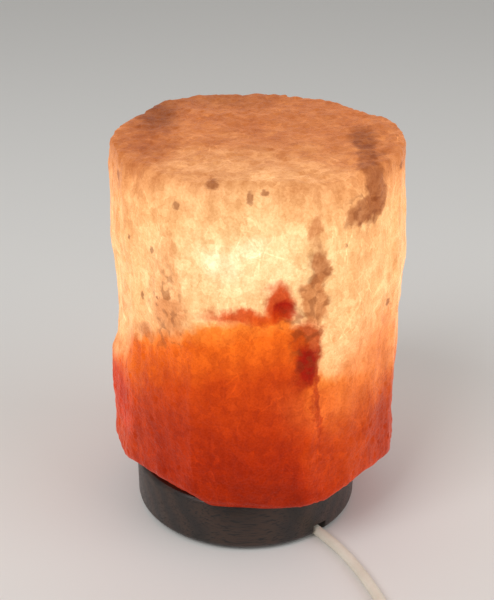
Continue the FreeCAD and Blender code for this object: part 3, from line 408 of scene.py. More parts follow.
# Chips, grooves and grains are cut into the outside only: the bore and the seat stay true.
seat, near_bore, above_bore = 0.0275, 0.032, 0.150
count = len(block.data.vertices)
places = np.empty(count * 3)
normals = np.empty(count * 3)
block.data.vertices.foreach_get("co", places)
block.data.vertices.foreach_get("normal", normals)
places = places.reshape(-1, 3)
normals = normals.reshape(-1, 3)
off_axis = np.hypot(places[:, 0] - lamp_x, places[:, 1])
free = np.clip((off_axis - near_bore) / 0.012, 0, 1)
free = np.maximum(free, np.clip((places[:, 2] - above_bore) / 0.008, 0, 1))
free *= np.clip((places[:, 2] - seat - 0.0004) / 0.003, 0, 1)
rougher_below, rougher_above = 88, 176
depth = np.zeros(count)
for index in range(count):
    if free[index] == 0:
        continue
    x, y, z = places[index] * 1000
    low = min(max((rougher_below - z) / 30, 0), 1)
    high = min(max((z - rougher_above) / 10, 0), 1)
    broad = noise.fractal(Vector((x / 26, y / 26, z / 34)), 0.9, 2.1, 3)
    groove = noise.fractal(Vector((x / 7, y / 7, z / 60 + 5)), 1.0, 2.0, 2)
    near, far = noise.voronoi(Vector((x / 9, y / 9, z / 13)))[0][:2]
    chip = far - near
    grain = noise.fractal(Vector((x / 2.6, y / 2.6, z / 3.2)), 0.8, 2.1, 2)
    pit = max(noise.noise(Vector((x / 3.4 + 40, y / 3.4, z / 3.4))) - 0.42, 0)
    rough = 0.35 + 0.65 * max(low, high)
    depth[index] = (
        1.0 * broad + 0.45 * groove * (1 - 0.6 * low) + 0.7 * rough * (min(chip, 0.35) - 0.2)
        + 0.32 * rough * grain - 3.0 * pit
    )
places += normals * (depth * free / 1000)[:, None]
block.data.vertices.foreach_set("co", places.ravel())
block.data.update()
bpy.ops.object.shade_smooth()

salt, salt_nodes, salt_links, salt_shader = new_material("lit_rock_salt", (0.8, 0.8, 0.8, 1), 0.5)


def stain_group():
    """Mask of a soft-edged stain: a place, a size each way, and how soft its edge is."""
    group = bpy.data.node_groups.new("stain", "ShaderNodeTree")
    for name, kind in (
        ("Place", "NodeSocketVector"), ("Middle", "NodeSocketVector"), ("Reach", "NodeSocketVector"),
        ("Soft", "NodeSocketFloat"),
    ):
        group.interface.new_socket(name, in_out="INPUT", socket_type=kind)
    group.interface.new_socket("Mask", in_out="OUTPUT", socket_type="NodeSocketFloat")
    nodes = group.nodes
    source = nodes.new("NodeGroupInput")
    sink = nodes.new("NodeGroupOutput")
    away = add_node(nodes, "ShaderNodeVectorMath", operation="SUBTRACT")
    scaled = add_node(nodes, "ShaderNodeVectorMath", operation="DIVIDE")
    length = add_node(nodes, "ShaderNodeVectorMath", operation="LENGTH")
    outer = add_node(nodes, "ShaderNodeMath", {0: 1}, operation="ADD")
    inner = add_node(nodes, "ShaderNodeMath", {0: 1}, operation="SUBTRACT")
    ramp = add_node(nodes, "ShaderNodeMapRange", interpolation_type="SMOOTHSTEP")
    join(group.links, (
        (source.outputs["Place"], away.inputs[0]),
        (source.outputs["Middle"], away.inputs[1]),
        (away.outputs[0], scaled.inputs[0]),
        (source.outputs["Reach"], scaled.inputs[1]),
        (scaled.outputs[0], length.inputs[0]),
        (source.outputs["Soft"], outer.inputs[1]),
        (source.outputs["Soft"], inner.inputs[1]),
        (length.outputs["Value"], ramp.inputs["Value"]),
        (outer.outputs[0], ramp.inputs["From Min"]),
        (inner.outputs[0], ramp.inputs["From Max"]),
        (ramp.outputs["Result"], sink.inputs["Mask"]),
    ))
    return group


stain = stain_group()


def salt_node(kind, values=None, **settings):
    return add_node(salt_nodes, kind, values, **settings)


def feed(node, inputs):
    """Gives inputs of a node another node's output or a fixed value."""
    for name, value in inputs.items():
        if isinstance(value, bpy.types.NodeSocket):
            salt_links.new(value, node.inputs[name])
        else:
            node.inputs[name].default_value = value


def salt_mix(factor, low, high, blend="MIX"):
    node = salt_node("ShaderNodeMix", data_type="RGBA", blend_type=blend)
    feed(node, {0: factor, 6: low, 7: high})
    return node.outputs[2]


def salt_math(operation, first, second):
    node = salt_node("ShaderNodeMath", operation=operation)
    feed(node, {0: first, 1: second})
    return node.outputs[0]


def salt_noise(vector, scale, detail=3.0, roughness=0.55):
    node = salt_node("ShaderNodeTexNoise", {"Scale": scale, "Detail": detail, "Roughness": roughness})
    salt_links.new(vector, node.inputs["Vector"])
    return node


def salt_range(value, low, high, to_low=0.0, to_high=1.0, smooth=True):
    node = salt_node(
        "ShaderNodeMapRange", {"From Min": low, "From Max": high, "To Min": to_low, "To Max": to_high},
        interpolation_type="SMOOTHSTEP" if smooth else "LINEAR",
    )
    salt_links.new(value, node.inputs["Value"])
    return node.outputs["Result"]


def salt_ramp(value, stops):
    """A colour that follows a value from 0 to 1 through (position, colour) stops."""
    node = salt_node("ShaderNodeValToRGB")
    salt_links.new(value, node.inputs[0])
    elements = node.color_ramp.elements
    elements[0].color = linear(*stops[0][1])
    elements[1].color = linear(*stops[-1][1])
    for position, colour in stops[1:-1]:
        elements.new(position).color = linear(*colour)
    return node.outputs[0]


place = salt_node("ShaderNodeTexCoord").outputs["Object"]
in_mm = salt_node("ShaderNodeVectorMath", {"Scale": 1000}, operation="SCALE")
salt_links.new(place, in_mm.inputs[0])
true_place = in_mm.outputs[0]


def drifted(vector, scale, amount):
    """The place, pushed about by noise, so that edges wander as they do in salt."""
    drift = salt_noise(vector, scale, 2.0)
    centred = salt_node("ShaderNodeVectorMath", {1: (0.5, 0.5, 0.5)}, operation="SUBTRACT")
    stretched = salt_node("ShaderNodeVectorMath", {"Scale": amount}, operation="SCALE")
    moved = salt_node("ShaderNodeVectorMath", operation="ADD")
    join(salt_links, (
        (drift.outputs["Color"], centred.inputs[0]),
        (centred.outputs[0], stretched.inputs[0]),
        (vector, moved.inputs[0]),
        (stretched.outputs[0], moved.inputs[1]),
    ))
    return moved.outputs[0]


wander = drifted(drifted(true_place, 0.055, 15), 0.28, 5)
split = salt_node("ShaderNodeSeparateXYZ")
salt_links.new(wander, split.inputs[0])
across, _, height = split.outputs

# The boundary of the stained salt climbs from the left to the middle and drops on the right.
half_width, full_height = 80, 200
levels = [
    (-80, 82), (-66, 88), (-49, 112), (-25, 124.5), (-6, 128.5), (12, 131), (19, 122), (27, 101), (40, 95),
    (60, 88), (80, 85),
]
border = salt_node("ShaderNodeFloatCurve")
salt_links.new(salt_range(across, -half_width, half_width, smooth=False), border.inputs["Value"])
border_points = border.mapping.curves[0].points
border_points[0].location = (0, levels[0][1] / full_height)
border_points[1].location = (1, levels[-1][1] / full_height)
for x, z in levels[1:-1]:
    border_points.new((x + half_width) / (2 * half_width), z / full_height)
border.mapping.update()
below = salt_math("SUBTRACT", salt_math("MULTIPLY", border.outputs[0], full_height), height)

# Painted glow of the bulb, brightest near its height, and painted shade towards the top, where less light
# reaches.
cloudy_salt_glow = salt_ramp(salt_range(height, 80, 200, smooth=False), [
    (0.0, (250, 180, 120)), (0.25, (254, 202, 155)), (0.5, (254, 206, 158)), (0.74, (248, 188, 136)),
    (0.86, (222, 154, 104)), (0.93, (198, 128, 82)), (1.0, (184, 112, 68)),
])
stained = salt_ramp(salt_range(below, 0, 90, smooth=False), [
    (0.0, (244, 144, 60)), (0.12, (230, 108, 26)), (0.34, (197, 71, 12)), (0.62, (177, 53, 6)),
    (0.82, (161, 41, 2)), (1.0, (144, 34, 0)),
])


def stain_mask(place, middle, reach, soft):
    spot = salt_node("ShaderNodeGroup", node_tree=stain)
    feed(spot, {"Place": place, "Middle": middle, "Reach": reach, "Soft": soft})
    return spot.outputs["Mask"]


def marked(tone, marks, place):
    """Marks over a tone: middle, reach each way, softness, colour, strength."""
    for middle, reach, soft, colour, amount in marks:
        mask = stain_mask(place, middle, reach, soft)
        tone = salt_mix(salt_math("MULTIPLY", mask, amount), tone, linear(*colour))
    return tone


def varied(tone, value, low, high, darkest, lightest):
    """A tone made darker where a value is low, and lighter where it is high."""
    share = salt_mix(salt_range(value, low, high), (*darkest, 1), (lightest, lightest, lightest, 1))
    return salt_mix(1.0, tone, share, "MULTIPLY")


# The bulb glows through the cloudy salt in front of it; the stained salt below holds its light back.
glowing = marked(cloudy_salt_glow, [
    ((-6, -64, 152), (46, 60, 30), 0.9, (255, 222, 178), 0.9),
    ((-8, -66, 153), (24, 40, 15), 0.8, (255, 236, 198), 0.95),
    ((-14, -64, 153.5), (8, 30, 6.5), 0.7, (255, 246, 218), 0.9),
    ((-1, -66, 161), (6, 30, 4.5), 0.7, (255, 246, 216), 0.9),
], wander)
tone = salt_mix(salt_range(below, -4, 4), glowing, stained)

# Clouds, veins and stains. The darker browns near the top are partly painted shade, where less of the bulb's
# light reaches.
tone = marked(tone, [
    ((-50, -5, 192), (12, 28, 14), 0.7, (164, 94, 56), 0.75),
    ((58, -38, 104), (18, 24, 15), 0.9, (238, 144, 84), 0.8),
    ((44, -52, 84), (26, 24, 14), 0.9, (222, 118, 64), 0.6),
    ((-49, 34, 197), (11, 24, 12), 0.6, (118, 60, 28), 0.75),
    ((-20, 60, 197), (30, 16, 10), 0.8, (150, 92, 56), 0.5),
    ((12, 10, 196), (40, 26, 9), 0.9, (184, 112, 70), 0.35),
    ((-39, -53, 140), (7.5, 20, 22), 0.2, (240, 178, 132), 0.6),
    ((-39, -53, 124), (7.5, 20, 11), 0.3, (216, 142, 94), 0.55),
    ((-52, -45, 110.5), (5, 14, 3.5), 0.5, (190, 114, 74), 0.6),
    ((26.5, -62, 151), (4.5, 22, 8), 0.3, (184, 118, 76), 0.85),
    ((24, -64, 138), (5.5, 22, 11), 0.25, (200, 132, 86), 0.85),
    ((21.5, -64, 114), (7, 22, 14), 0.3, (190, 74, 12), 0.9),
    ((21, -64, 104), (6, 22, 9), 0.5, (150, 16, 0), 0.95),
    ((26, -64, 84), (1.3, 22, 26), 0.5, (176, 58, 12), 0.8),
    ((25, -62, 167), (2.6, 20, 7), 0.4, (206, 138, 94), 0.7),
    ((47, 30, 196), (7, 22, 8), 0.5, (190, 116, 70), 0.7),
    ((50, -8, 192), (6, 22, 9), 0.4, (150, 88, 52), 0.85),
    ((49, -40, 190), (5, 12, 8), 0.4, (160, 98, 62), 0.8),
    ((51, -42, 178), (6, 14, 9), 0.35, (164, 102, 66), 0.9),
    ((47, -46, 170.5), (9, 14, 5), 0.3, (172, 110, 72), 0.9),
    ((9.5, -66, 135.5), (6, 24, 7), 0.45, (200, 70, 10), 0.95),
    ((12, -66, 131), (5, 24, 4.5), 0.5, (160, 22, 0), 0.95),
    ((-6, -66, 129.5), (18, 24, 2.8), 0.6, (208, 74, 4), 0.9),
    ((-69, -17, 70), (12, 34, 18), 0.7, (196, 46, 2), 0.85),
    ((-60, -40, 96), (14, 20, 9), 0.6, (226, 104, 26), 0.7),
    ((58, -33, 88), (22, 30, 12), 0.9, (240, 140, 76), 0.6),
    ((52, -44, 62), (20, 20, 20), 0.8, (178, 64, 14), 0.7),
    ((66, -22, 60), (14, 24, 24), 0.8, (160, 46, 8), 0.75),
    ((-46, -50, 64), (30, 26, 24), 0.9, (160, 42, 2), 0.5),
    ((22, 64, 128), (6, 20, 26), 0.35, (198, 118, 68), 0.7),
    ((-34, 62, 92), (9, 20, 12), 0.4, (150, 30, 2), 0.7),
    ((68, 16, 118), (14, 7, 24), 0.4, (204, 128, 80), 0.7),
    ((-66, 14, 150), (14, 6, 26), 0.35, (208, 136, 90), 0.7),
], wander)

# Specks of clay, small and nearly black.
shaken = drifted(true_place, 0.6, 2.2)
specks = [
    ((-45.7, -48, 153.6), (0.7, 8, 1.9)), ((-44.3, -48, 131.4), (0.7, 8, 1)),
    ((-18.8, -57, 185.6), (2.8, 9, 1.5)), ((3, -60, 183), (1.9, 8, 1)), ((-3.2, -61, 181), (1.4, 8, 2.5)),
    ((60.6, -33, 122.8), (1.2, 8, 1.9)), ((64.7, -20, 184), (1.2, 8, 2)), ((-57, -30, 155), (0.7, 8, 1.5)),
    ((-52, -38, 128), (0.6, 8, 2.1)), ((-62, -18, 180), (1.2, 8, 2.5)), ((38, -50, 158), (0.9, 8, 1.2)),
    ((-34, -58, 176), (1.5, 8, 1.9)), ((12, 66, 150), (1.9, 8, 3.1)), ((-30, 62, 120), (1.2, 8, 2.5)),
    ((70, 20, 140), (1.9, 4, 3.1)), ((-62, 30, 130), (1.9, 3, 3.7)),
]
tone = marked(tone, [(middle, reach, 0.35, (128, 62, 28), 0.6) for middle, reach in specks], shaken)

# Clouds, upright streaks and grains over everything, and flakes that differ a little in brightness.
clouds = salt_noise(true_place, 0.075, 5.0, 0.6).outputs[0]
upright = salt_node("ShaderNodeMapping", {"Scale": (1, 1, 0.16)})
salt_links.new(drifted(true_place, 0.12, 8), upright.inputs["Vector"])
streaks = salt_noise(upright.outputs[0], 0.24, 4.0, 0.6).outputs[0]
grains = salt_noise(true_place, 0.9, 4.0, 0.65).outputs[0]
flakes = salt_node("ShaderNodeTexVoronoi", {"Scale": 0.24})
salt_links.new(drifted(true_place, 0.3, 5), flakes.inputs["Vector"])
tone = varied(tone, clouds, 0.3, 0.7, (0.92, 0.82, 0.73), 1.08)
tone = varied(tone, streaks, 0.35, 0.62, (0.92, 0.85, 0.78), 1.05)
tone = varied(tone, grains, 0.3, 0.7, (0.92, 0.86, 0.80), 1.08)
tone = varied(tone, flakes.outputs["Color"], 0.25, 0.75, (0.94, 0.89, 0.84), 1.07)

# Fine leaning cracks catch the light here and there.
leaning = salt_node("ShaderNodeMapping", {"Rotation": (0.3, 0.6, 0.2), "Scale": (1, 1, 0.5)})
salt_links.new(drifted(true_place, 0.09, 3), leaning.inputs["Vector"])
shown = salt_range(salt_noise(true_place, 0.07, 3.0).outputs[0], 0.48, 0.64)
for scale, width in ((0.05, 0.022), (0.11, 0.03)):
    cracks = salt_node("ShaderNodeTexVoronoi", {"Scale": scale}, feature="DISTANCE_TO_EDGE")
    salt_links.new(leaning.outputs[0], cracks.inputs["Vector"])
    lines = salt_math("MULTIPLY", salt_range(cracks.outputs["Distance"], width, 0), shown)
    lit = salt_mix(1.0, tone, (1.5, 1.7, 1.9, 1), "MULTIPLY")
    tone = salt_mix(salt_math("MULTIPLY", lines, 0.35), tone, lit)

# Round bubbles with darker rims crowd in the veins.
bubbles = salt_node("ShaderNodeTexVoronoi", {"Scale": 0.33}, feature="SMOOTH_F1")
salt_links.new(drifted(true_place, 0.5, 1.5), bubbles.inputs["Vector"])
rims = salt_range(bubbles.outputs["Distance"], 0.42, 0.62)
bubbly = stain_mask(wander, (24.5, -63, 142), (6, 24, 16), 0.4)
for middle, reach in (
    ((47, -46, 172), (12, 16, 9)), ((50, -20, 188), (8, 24, 12)), ((20, -64, 118), (9, 20, 18)),
    ((-40, -53, 128), (8, 20, 20)),
):
    bubbly = salt_math("MAXIMUM", bubbly, stain_mask(wander, middle, reach, 0.4))
rims_shown = salt_math("MULTIPLY", salt_math("MULTIPLY", rims, bubbly), 0.45)
tone = salt_mix(rims_shown, tone, linear(120, 56, 22))

# The salt shows its tone mostly by the light that comes through it, painted as emission, and less by the
# light on it.
light_on_it, light_through_it = (0.22, 0.22, 0.22, 1), (0.97, 0.90, 0.73, 1)
feed(salt_shader, {
    "Base Color": salt_mix(1.0, tone, light_on_it, "MULTIPLY"),
    "Emission Color": salt_mix(1.0, tone, light_through_it, "MULTIPLY"),
    "Emission Strength": 1.0,
    "Roughness": salt_range(grains, 0.3, 0.7, 0.18, 0.42),
    "Specular IOR Level": 0.12,
})
facets = salt_node("ShaderNodeTexVoronoi", {"Scale": 0.5})
salt_links.new(shaken, facets.inputs["Vector"])
salt_bump = salt_node("ShaderNodeBump", {"Strength": 0.5, "Distance": 0.6 * mm})
grain_height = salt_math("MULTIPLY", grains, 1.2)
join(salt_links, (
    (salt_math("ADD", grain_height, facets.outputs["Distance"]), salt_bump.inputs["Height"]),
    (salt_bump.outputs[0], salt_shader.inputs["Normal"]),
))
block.data.materials.clear()
block.data.materials.append(salt)
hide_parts("salt_crystal")
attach(block, "crystal_on_base")

# ---- Light unit
# A zinc-plated steel plate that is pushed up into the base. Three spring clips on it hold in the
# hole, and a threaded nipple and a nut hold the lamp holder on its middle.

plate = turned("steel_plate", 96, [
    (5.1, 14.8), (33.6, 14.8), (34, 15.1), (34, 16), (5.1, 16),
], closed=True)
finished(plate, "light_unit", zinc, bevel=0.12)
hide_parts("holder_plate")

thread = []
for ridge in range(10):
    thread += [(4.55, 11.8 + ridge), (5.0, 12.3 + ridge), (4.55, 12.75 + ridge)]
nipple = turned(
    "threaded_tube", 48, [(3.5, 11.6), (4.55, 11.6)] + thread + [(4.5, 22), (3.5, 22)], closed=True,
)
finished(nipple, "light_unit", zinc, smooth=50)
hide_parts("threaded_nipple")
frame["nodes"]["lock_nut"].data.materials[0] = zinc

spring_steel = mottled(
    "spring_steel", (0.30, 0.31, 0.33, 1), (0.52, 0.53, 0.56, 1), 420, (0.18, 0.34), 1.0,
    bump=0.02, stretch=(1, 1, 0.3),
)
clip_width, clip_thickness = 0.008, 0.0006
clip_line = [
    (15, 16.3), (17.7, 16.3), (20.4, 16.3), (21.6, 17.5), (24.6, 29.3), (25.0, 31.3), (24.6, 33.3),
    (22.2, 43.3), (22.8, 45.6),
]
for number, angle in enumerate(between_screws):
    bpy.ops.mesh.primitive_grid_add(x_subdivisions=len(clip_line) - 1, y_subdivisions=2, size=1)
    clip = bpy.context.object
    clip.name = "spring_clip_%d" % number
    for vertex in clip.data.vertices:
        reach, rise = clip_line[round((vertex.co.x + 0.5) * (len(clip_line) - 1))]
        vertex.co = (reach * mm, vertex.co.y * clip_width, rise * mm)
    thickness = clip.modifiers.new("thickness", "SOLIDIFY")
    thickness.thickness = clip_thickness
    thickness.offset = 0
    bpy.ops.object.modifier_apply(modifier="thickness")
    bends = clip.modifiers.new("bends", "BEVEL")
    bends.width = 0.15 * mm
    bends.segments = 2
    bends.limit_method = "ANGLE"
    bends.angle_limit = math.radians(8)
    bpy.ops.object.modifier_apply(modifier="bends")
    clip.rotation_euler = (0, 0, math.radians(angle))
    clip.location = (lamp_x, 0, 0)
    finished(clip, "light_unit", spring_steel)
    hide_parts("spring_clips")

# ---- Lamp holder
# A two-part holder of black phenolic plastic, screwed together below its middle, its cup ribbed for
# the hand, with a ceramic block and a brass screw sleeve inside. A collar in it grips the cord.

phenolic = mottled("black_phenolic", (0.010, 0.0095, 0.009, 1), (0.026, 0.025, 0.023, 1), 140, (0.22, 0.4))
grip_ribs, rib_depth, ribs_from, ribs_to, rib_side = 36, 0.017, 0.0184, 0.0302, 0.0132
holder_cup = turned("holder_cup", grip_ribs * 8, [
    (5, 16), (12.4, 16), (13.2, 16.5), (13.5, 17.4), (13.5, 18), (13.5, 18.8), (13.5, 29.8), (13.5, 30.6),
    (13.5, 31.4), (13.15, 31.7), (13.15, 32.6), (13.5, 33), (12, 33), (12, 19), (5, 19),
], closed=True)
for vertex in holder_cup.data.vertices:
    x, y, z = vertex.co
    if ribs_from < z < ribs_to and math.hypot(x - lamp_x, y) > rib_side:
        pressed_in = 1 - rib_depth * (1 - math.cos(grip_ribs * math.atan2(y, x - lamp_x)))
        vertex.co = (lamp_x + (x - lamp_x) * pressed_in, y * pressed_in, z)
finished(holder_cup, "light_unit", phenolic, smooth=35)
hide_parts("holder_cap")
holder_body = turned("holder_body", 96, [
    (13.5, 33), (13.5, 59.6), (13.3, 60.8), (12.7, 61.6), (11.8, 62), (8.6, 62), (8.15, 61.6), (8.15, 60.4),
    (12, 60.4), (12, 33),
], closed=True)
finished(holder_body, "light_unit", phenolic, smooth=35)
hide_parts("holder_shell")

brass = mottled("brass", (0.52, 0.34, 0.12, 1), (0.80, 0.58, 0.26, 1), 300, (0.2, 0.36), 1.0, bump=0.02)
threads, per_thread = 6, 6
sleeve_foot, sleeve_length = 43, 17
outside, inside = [], []
for step in range(threads * per_thread + 1):
    wave = 0.14 * math.cos(2 * math.pi * step / per_thread)
    ring_height = sleeve_foot + sleeve_length * step / (threads * per_thread)
    outside.append((7.61 + wave, ring_height))
    inside.append((7.39 + wave, ring_height))
screw_sleeve = turned("screw_sleeve", 48, outside + inside[::-1], closed=True)
finished(screw_sleeve, "light_unit", brass, smooth=60)
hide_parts("thread_sleeve")

ceramic = mottled("ceramic", (0.62, 0.59, 0.53, 1), (0.76, 0.74, 0.69, 1), 500, (0.4, 0.6), bump=0.03)
collar_plastic = mottled("collar_plastic", (0.40, 0.39, 0.37, 1), (0.5, 0.49, 0.47, 1), 400, (0.4, 0.55))
frame["nodes"]["terminal_block"].data.materials[0] = ceramic
frame["nodes"]["centre_contact"].data.materials[0] = brass
frame["nodes"]["terminal_screws"].data.materials[0] = brass
frame["nodes"]["cord_grip"].data.materials[0] = collar_plastic
frame["nodes"]["grip_screw"].data.materials[0] = zinc

# ---- Bulb
# A small clear bulb with a 14 mm screw cap of brass. A glass stem in it carries two wires and the
# coiled filament, which glows.

glass, *_, shader = new_material("clear_glass", (1, 1, 1, 1), 0.02)
shader.inputs["Transmission Weight"].default_value = 1.0
shader.inputs["IOR"].default_value = 1.45
neck, wide, wall, pole = 6.45, 12.5, 0.8, 0.02
swells_at, swell_length, dome = 63, 11, 117.5
outside, inside = [(neck, 50.2), (neck, swells_at)], [(neck - wall, 51), (neck - wall, swells_at)]
for step in range(1, 7):
    swell = (wide - neck) * (1 - math.cos(math.pi * step / 6)) / 2
    ring_height = swells_at + swell_length * step / 6
    outside.append((neck + swell, ring_height))
    inside.append((neck - wall + swell, ring_height))
for rings, radius in ((outside, wide), (inside, wide - wall)):
    rings.append((radius, dome))
    for step in range(1, 11):
        angle = math.radians(9 * step)
        rings.append((max(radius * math.cos(angle), pole), dome + radius * math.sin(angle)))
bulb = turned("bulb_envelope", 72, outside + inside[::-1], closed=True)
in_edit_mode(bulb)
bpy.ops.mesh.remove_doubles(threshold=0.00005)
bpy.ops.mesh.delete_loose()
bpy.ops.mesh.select_all(action="SELECT")
bpy.ops.mesh.normals_make_consistent(inside=False)
bpy.ops.object.mode_set(mode="OBJECT")
finished(bulb, "bulb", glass, smooth=80)
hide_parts("bulb_glass")

threads = 5
cap_rings = [(6.45, 48.2)]
for step in range(threads * per_thread + 1):
    wave = 0.2 * math.cos(2 * math.pi * step / per_thread)
    cap_rings.append((6.72 + wave, 48.6 + 12.2 * step / (threads * per_thread)))
cap_rings += [(6.95, 61.6), (6.95, 63), (6.45, 63)]
bulb_cap = turned("bulb_screw_cap", 64, cap_rings, closed=True)
finished(bulb_cap, "bulb", brass, smooth=60)
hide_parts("bulb_cap")

stem = turned("glass_stem", 40, [(2.2, 50.2), (3, 52), (3, 76), (2.6, 80), (2.4, 84)])
finished(stem, "bulb", glass, smooth=60)
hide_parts("bulb_stem")

black_glass = mottled("black_glass", (0.006, 0.006, 0.008, 1), (0.014, 0.014, 0.016, 1), 300, (0.08, 0.2))
solder = mottled("solder", (0.42, 0.42, 0.43, 1), (0.62, 0.62, 0.62, 1), 700, (0.3, 0.55), 1.0, bump=0.08)
frame["nodes"]["bulb_insulator"].data.materials[0] = black_glass
frame["nodes"]["bulb_contact"].data.materials[0] = solder


def line(name, points, width, material, resolution=6, sides=5):
    """A round wire or cord of one width along a smooth line through a row of control points."""
    curve = bpy.data.curves.new(name, "CURVE")
    curve.dimensions = "3D"
    spline = curve.splines.new("NURBS")
    spline.points.add(len(points) - 1)
    for point, (x, y, z) in zip(spline.points, points):
        point.co = (x, y, z, 1)
    spline.order_u = 3
    spline.use_endpoint_u = True
    spline.resolution_u = resolution
    curve.bevel_depth = width / 2
    curve.bevel_resolution = sides
    curve.use_fill_caps = True
    curve.materials.append(material)
    piece = bpy.data.objects.new(name, curve)
    scene.collection.objects.link(piece)
    return piece


wire_metal = mottled("wire_metal", (0.34, 0.33, 0.32, 1), (0.5, 0.49, 0.47, 1), 900, (0.3, 0.45), 1.0)
for side in (-1, 1):
    wire = line("support_wire_%s" % ("left" if side < 0 else "right"), [
        (lamp_x + side * 0.0016, 0, 0.084), (lamp_x + side * 0.0018, 0, 0.089),
        (lamp_x + side * 0.0026, 0, 0.095), (lamp_x + side * 0.006, 0, 0.107),
    ], 0.0006, wire_metal)
    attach(wire, "bulb")
    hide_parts("support_wires")
glow, *_, shader = new_material("glowing_filament", (1.0, 0.55, 0.2, 1), 0.5)
shader.inputs["Emission Color"].default_value = (1.0, 0.62, 0.28, 1)
shader.inputs["Emission Strength"].default_value = 12.0
turns, per_turn = 14, 12
filament_length, filament_radius, filament_height = 0.0112, 0.00042, 0.107
filament = line("coiled_filament", [
    (
        lamp_x + filament_length * (step / (turns * per_turn) - 0.5),
        filament_radius * math.cos(2 * math.pi * step / per_turn),
        filament_height + filament_radius * math.sin(2 * math.pi * step / per_turn),
    )
    for step in range(turns * per_turn + 1)
], 0.00016, glow, 2, 2)
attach(filament, "bulb")
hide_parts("filament")

# ---- Mains cord
# A round two-core cord with a smooth white jacket. From the holder it leaves the base through the
# channel, runs over the floor to a rocker switch, and on to a coil, put away with a tie, and a plug.

cord_width = 0.005
jacket = mottled("jacket", linear(222, 214, 196), linear(238, 232, 217), 60, (0.38, 0.52), bump=0.03)

inside_lead = line("cord_in_base", [
    (lamp_x, 0, 0.0306), (lamp_x, 0, 0.023), (lamp_x, 0, 0.015), (lamp_x + 0.0016, -0.0019, 0.0062),
    (lamp_x + 0.0072, -0.0086, 0.0027), (lamp_x + 0.0175, -0.0208, 0.0026), (0.0233, -0.0337, 0.0026),
    (0.031, -0.0436, 0.0026),
], cord_width, jacket)
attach(inside_lead, "light_unit")
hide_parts("inner_lead")

core_colours = {-1: linear(120, 78, 40), 1: linear(52, 92, 168)}
for side, colour in core_colours.items():
    name = "core_%s" % ("left" if side < 0 else "right")
    insulation = mottled(name + "_insulation", colour, colour, 200, (0.4, 0.5))
    core = line(name, [
        (lamp_x + side * 0.0011, 0, 0.0306), (lamp_x + side * 0.0011, 0, 0.0324),
        (lamp_x + side * 0.006, 0, 0.0344), (lamp_x + side * 0.006, 0, 0.040),
    ], 0.0018, insulation)
    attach(core, "light_unit")
    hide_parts("lead_cores")

lamp_to_switch = [
    (0.031, -0.0436, 0.0026), (0.0385, -0.0533, 0.0026), (0.048, -0.0719, 0.0026), (0.0559, -0.0941, 0.0026),
    (0.0625, -0.1195, 0.0026), (0.066, -0.146, 0.0026), (0.067, -0.172, 0.0026), (0.067, -0.198, 0.0026),
    (0.0636, -0.2205, 0.0027), (0.0552, -0.2382, 0.0036), (0.0436, -0.2492, 0.0054), (0.030, -0.253, 0.007),
    (0.017, -0.253, 0.007),
]
lead = line("cord_lamp_to_switch", lamp_to_switch, cord_width, jacket)
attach(lead, "light_unit")
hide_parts("cord_to_switch")

switch_to_coil = [
    (-0.041, -0.253, 0.007), (-0.054, -0.253, 0.007), (-0.0666, -0.2484, 0.0056), (-0.0762, -0.2386, 0.0044),
    (-0.0808, -0.225, 0.0039), (-0.081, -0.2065, 0.0038), (-0.078, -0.1878, 0.0038), (-0.074, -0.169, 0.0038),
]
coil_to_plug = [
    (-0.020, -0.114, 0.0095), (-0.005, -0.1161, 0.0072), (0.0095, -0.1215, 0.005), (0.0215, -0.1315, 0.0042),
    (0.029, -0.145, 0.0054), (0.031, -0.1585, 0.00685), (0.031, -0.170, 0.00685),
]
coil_x, coil_y, on_the_floor = -0.0375, -0.1505, 0.0038
widest_turn, turn_width = 0.0365, 0.0057
turns, per_turn = 5.25, 24
steps = round(turns * per_turn)
coil = []
for step in range(steps + 1):
    turned_by = 2 * math.pi * turns * step / steps
    wound = min(turned_by, 2 * math.pi * turns - turned_by)
    radius = widest_turn - turn_width * wound / (2 * math.pi)
    climb = min(max(turned_by / math.pi - turns + 0.5, 0), 1)
    angle = math.pi - turned_by
    coil.append((
        coil_x + radius * math.cos(angle), coil_y + radius * math.sin(angle),
        on_the_floor + turn_width * climb,
    ))
tail = line("cord_switch_to_plug", switch_to_coil + coil + coil_to_plug, cord_width, jacket)
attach(tail, "light_unit")
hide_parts("cord_to_coil", "cord_coil", "cord_to_plug")

# ---- Tie
# A woven strap closed on itself round all the turns of the coil.

weave, nodes, links, shader = new_material("woven_strap", linear(70, 68, 66), 0.85)
place = nodes.new("ShaderNodeTexCoord")
across_strap = add_node(nodes, "ShaderNodeMapping", {"Rotation": (0, 0, math.radians(60))})
warp = add_node(nodes, "ShaderNodeTexWave", {"Scale": 420})
weft = add_node(nodes, "ShaderNodeTexWave", {"Scale": 420}, bands_direction="Y")
crossed = add_node(nodes, "ShaderNodeMath", operation="MULTIPLY")
shade = add_node(nodes, "ShaderNodeMix", {6: linear(36, 34, 33), 7: linear(92, 90, 87)}, data_type="RGBA")
relief = add_node(nodes, "ShaderNodeBump", {"Strength": 0.7, "Distance": 0.15 * mm})
join(links, (
    (place.outputs["Object"], across_strap.inputs["Vector"]),
    (across_strap.outputs[0], warp.inputs["Vector"]),
    (across_strap.outputs[0], weft.inputs["Vector"]),
    (warp.outputs["Fac"], crossed.inputs[0]),
    (weft.outputs["Fac"], crossed.inputs[1]),
    (crossed.outputs[0], shade.inputs[0]),
    (shade.outputs[2], shader.inputs["Base Color"]),
    (crossed.outputs[0], relief.inputs["Height"]),
    (relief.outputs[0], shader.inputs["Normal"]),
))


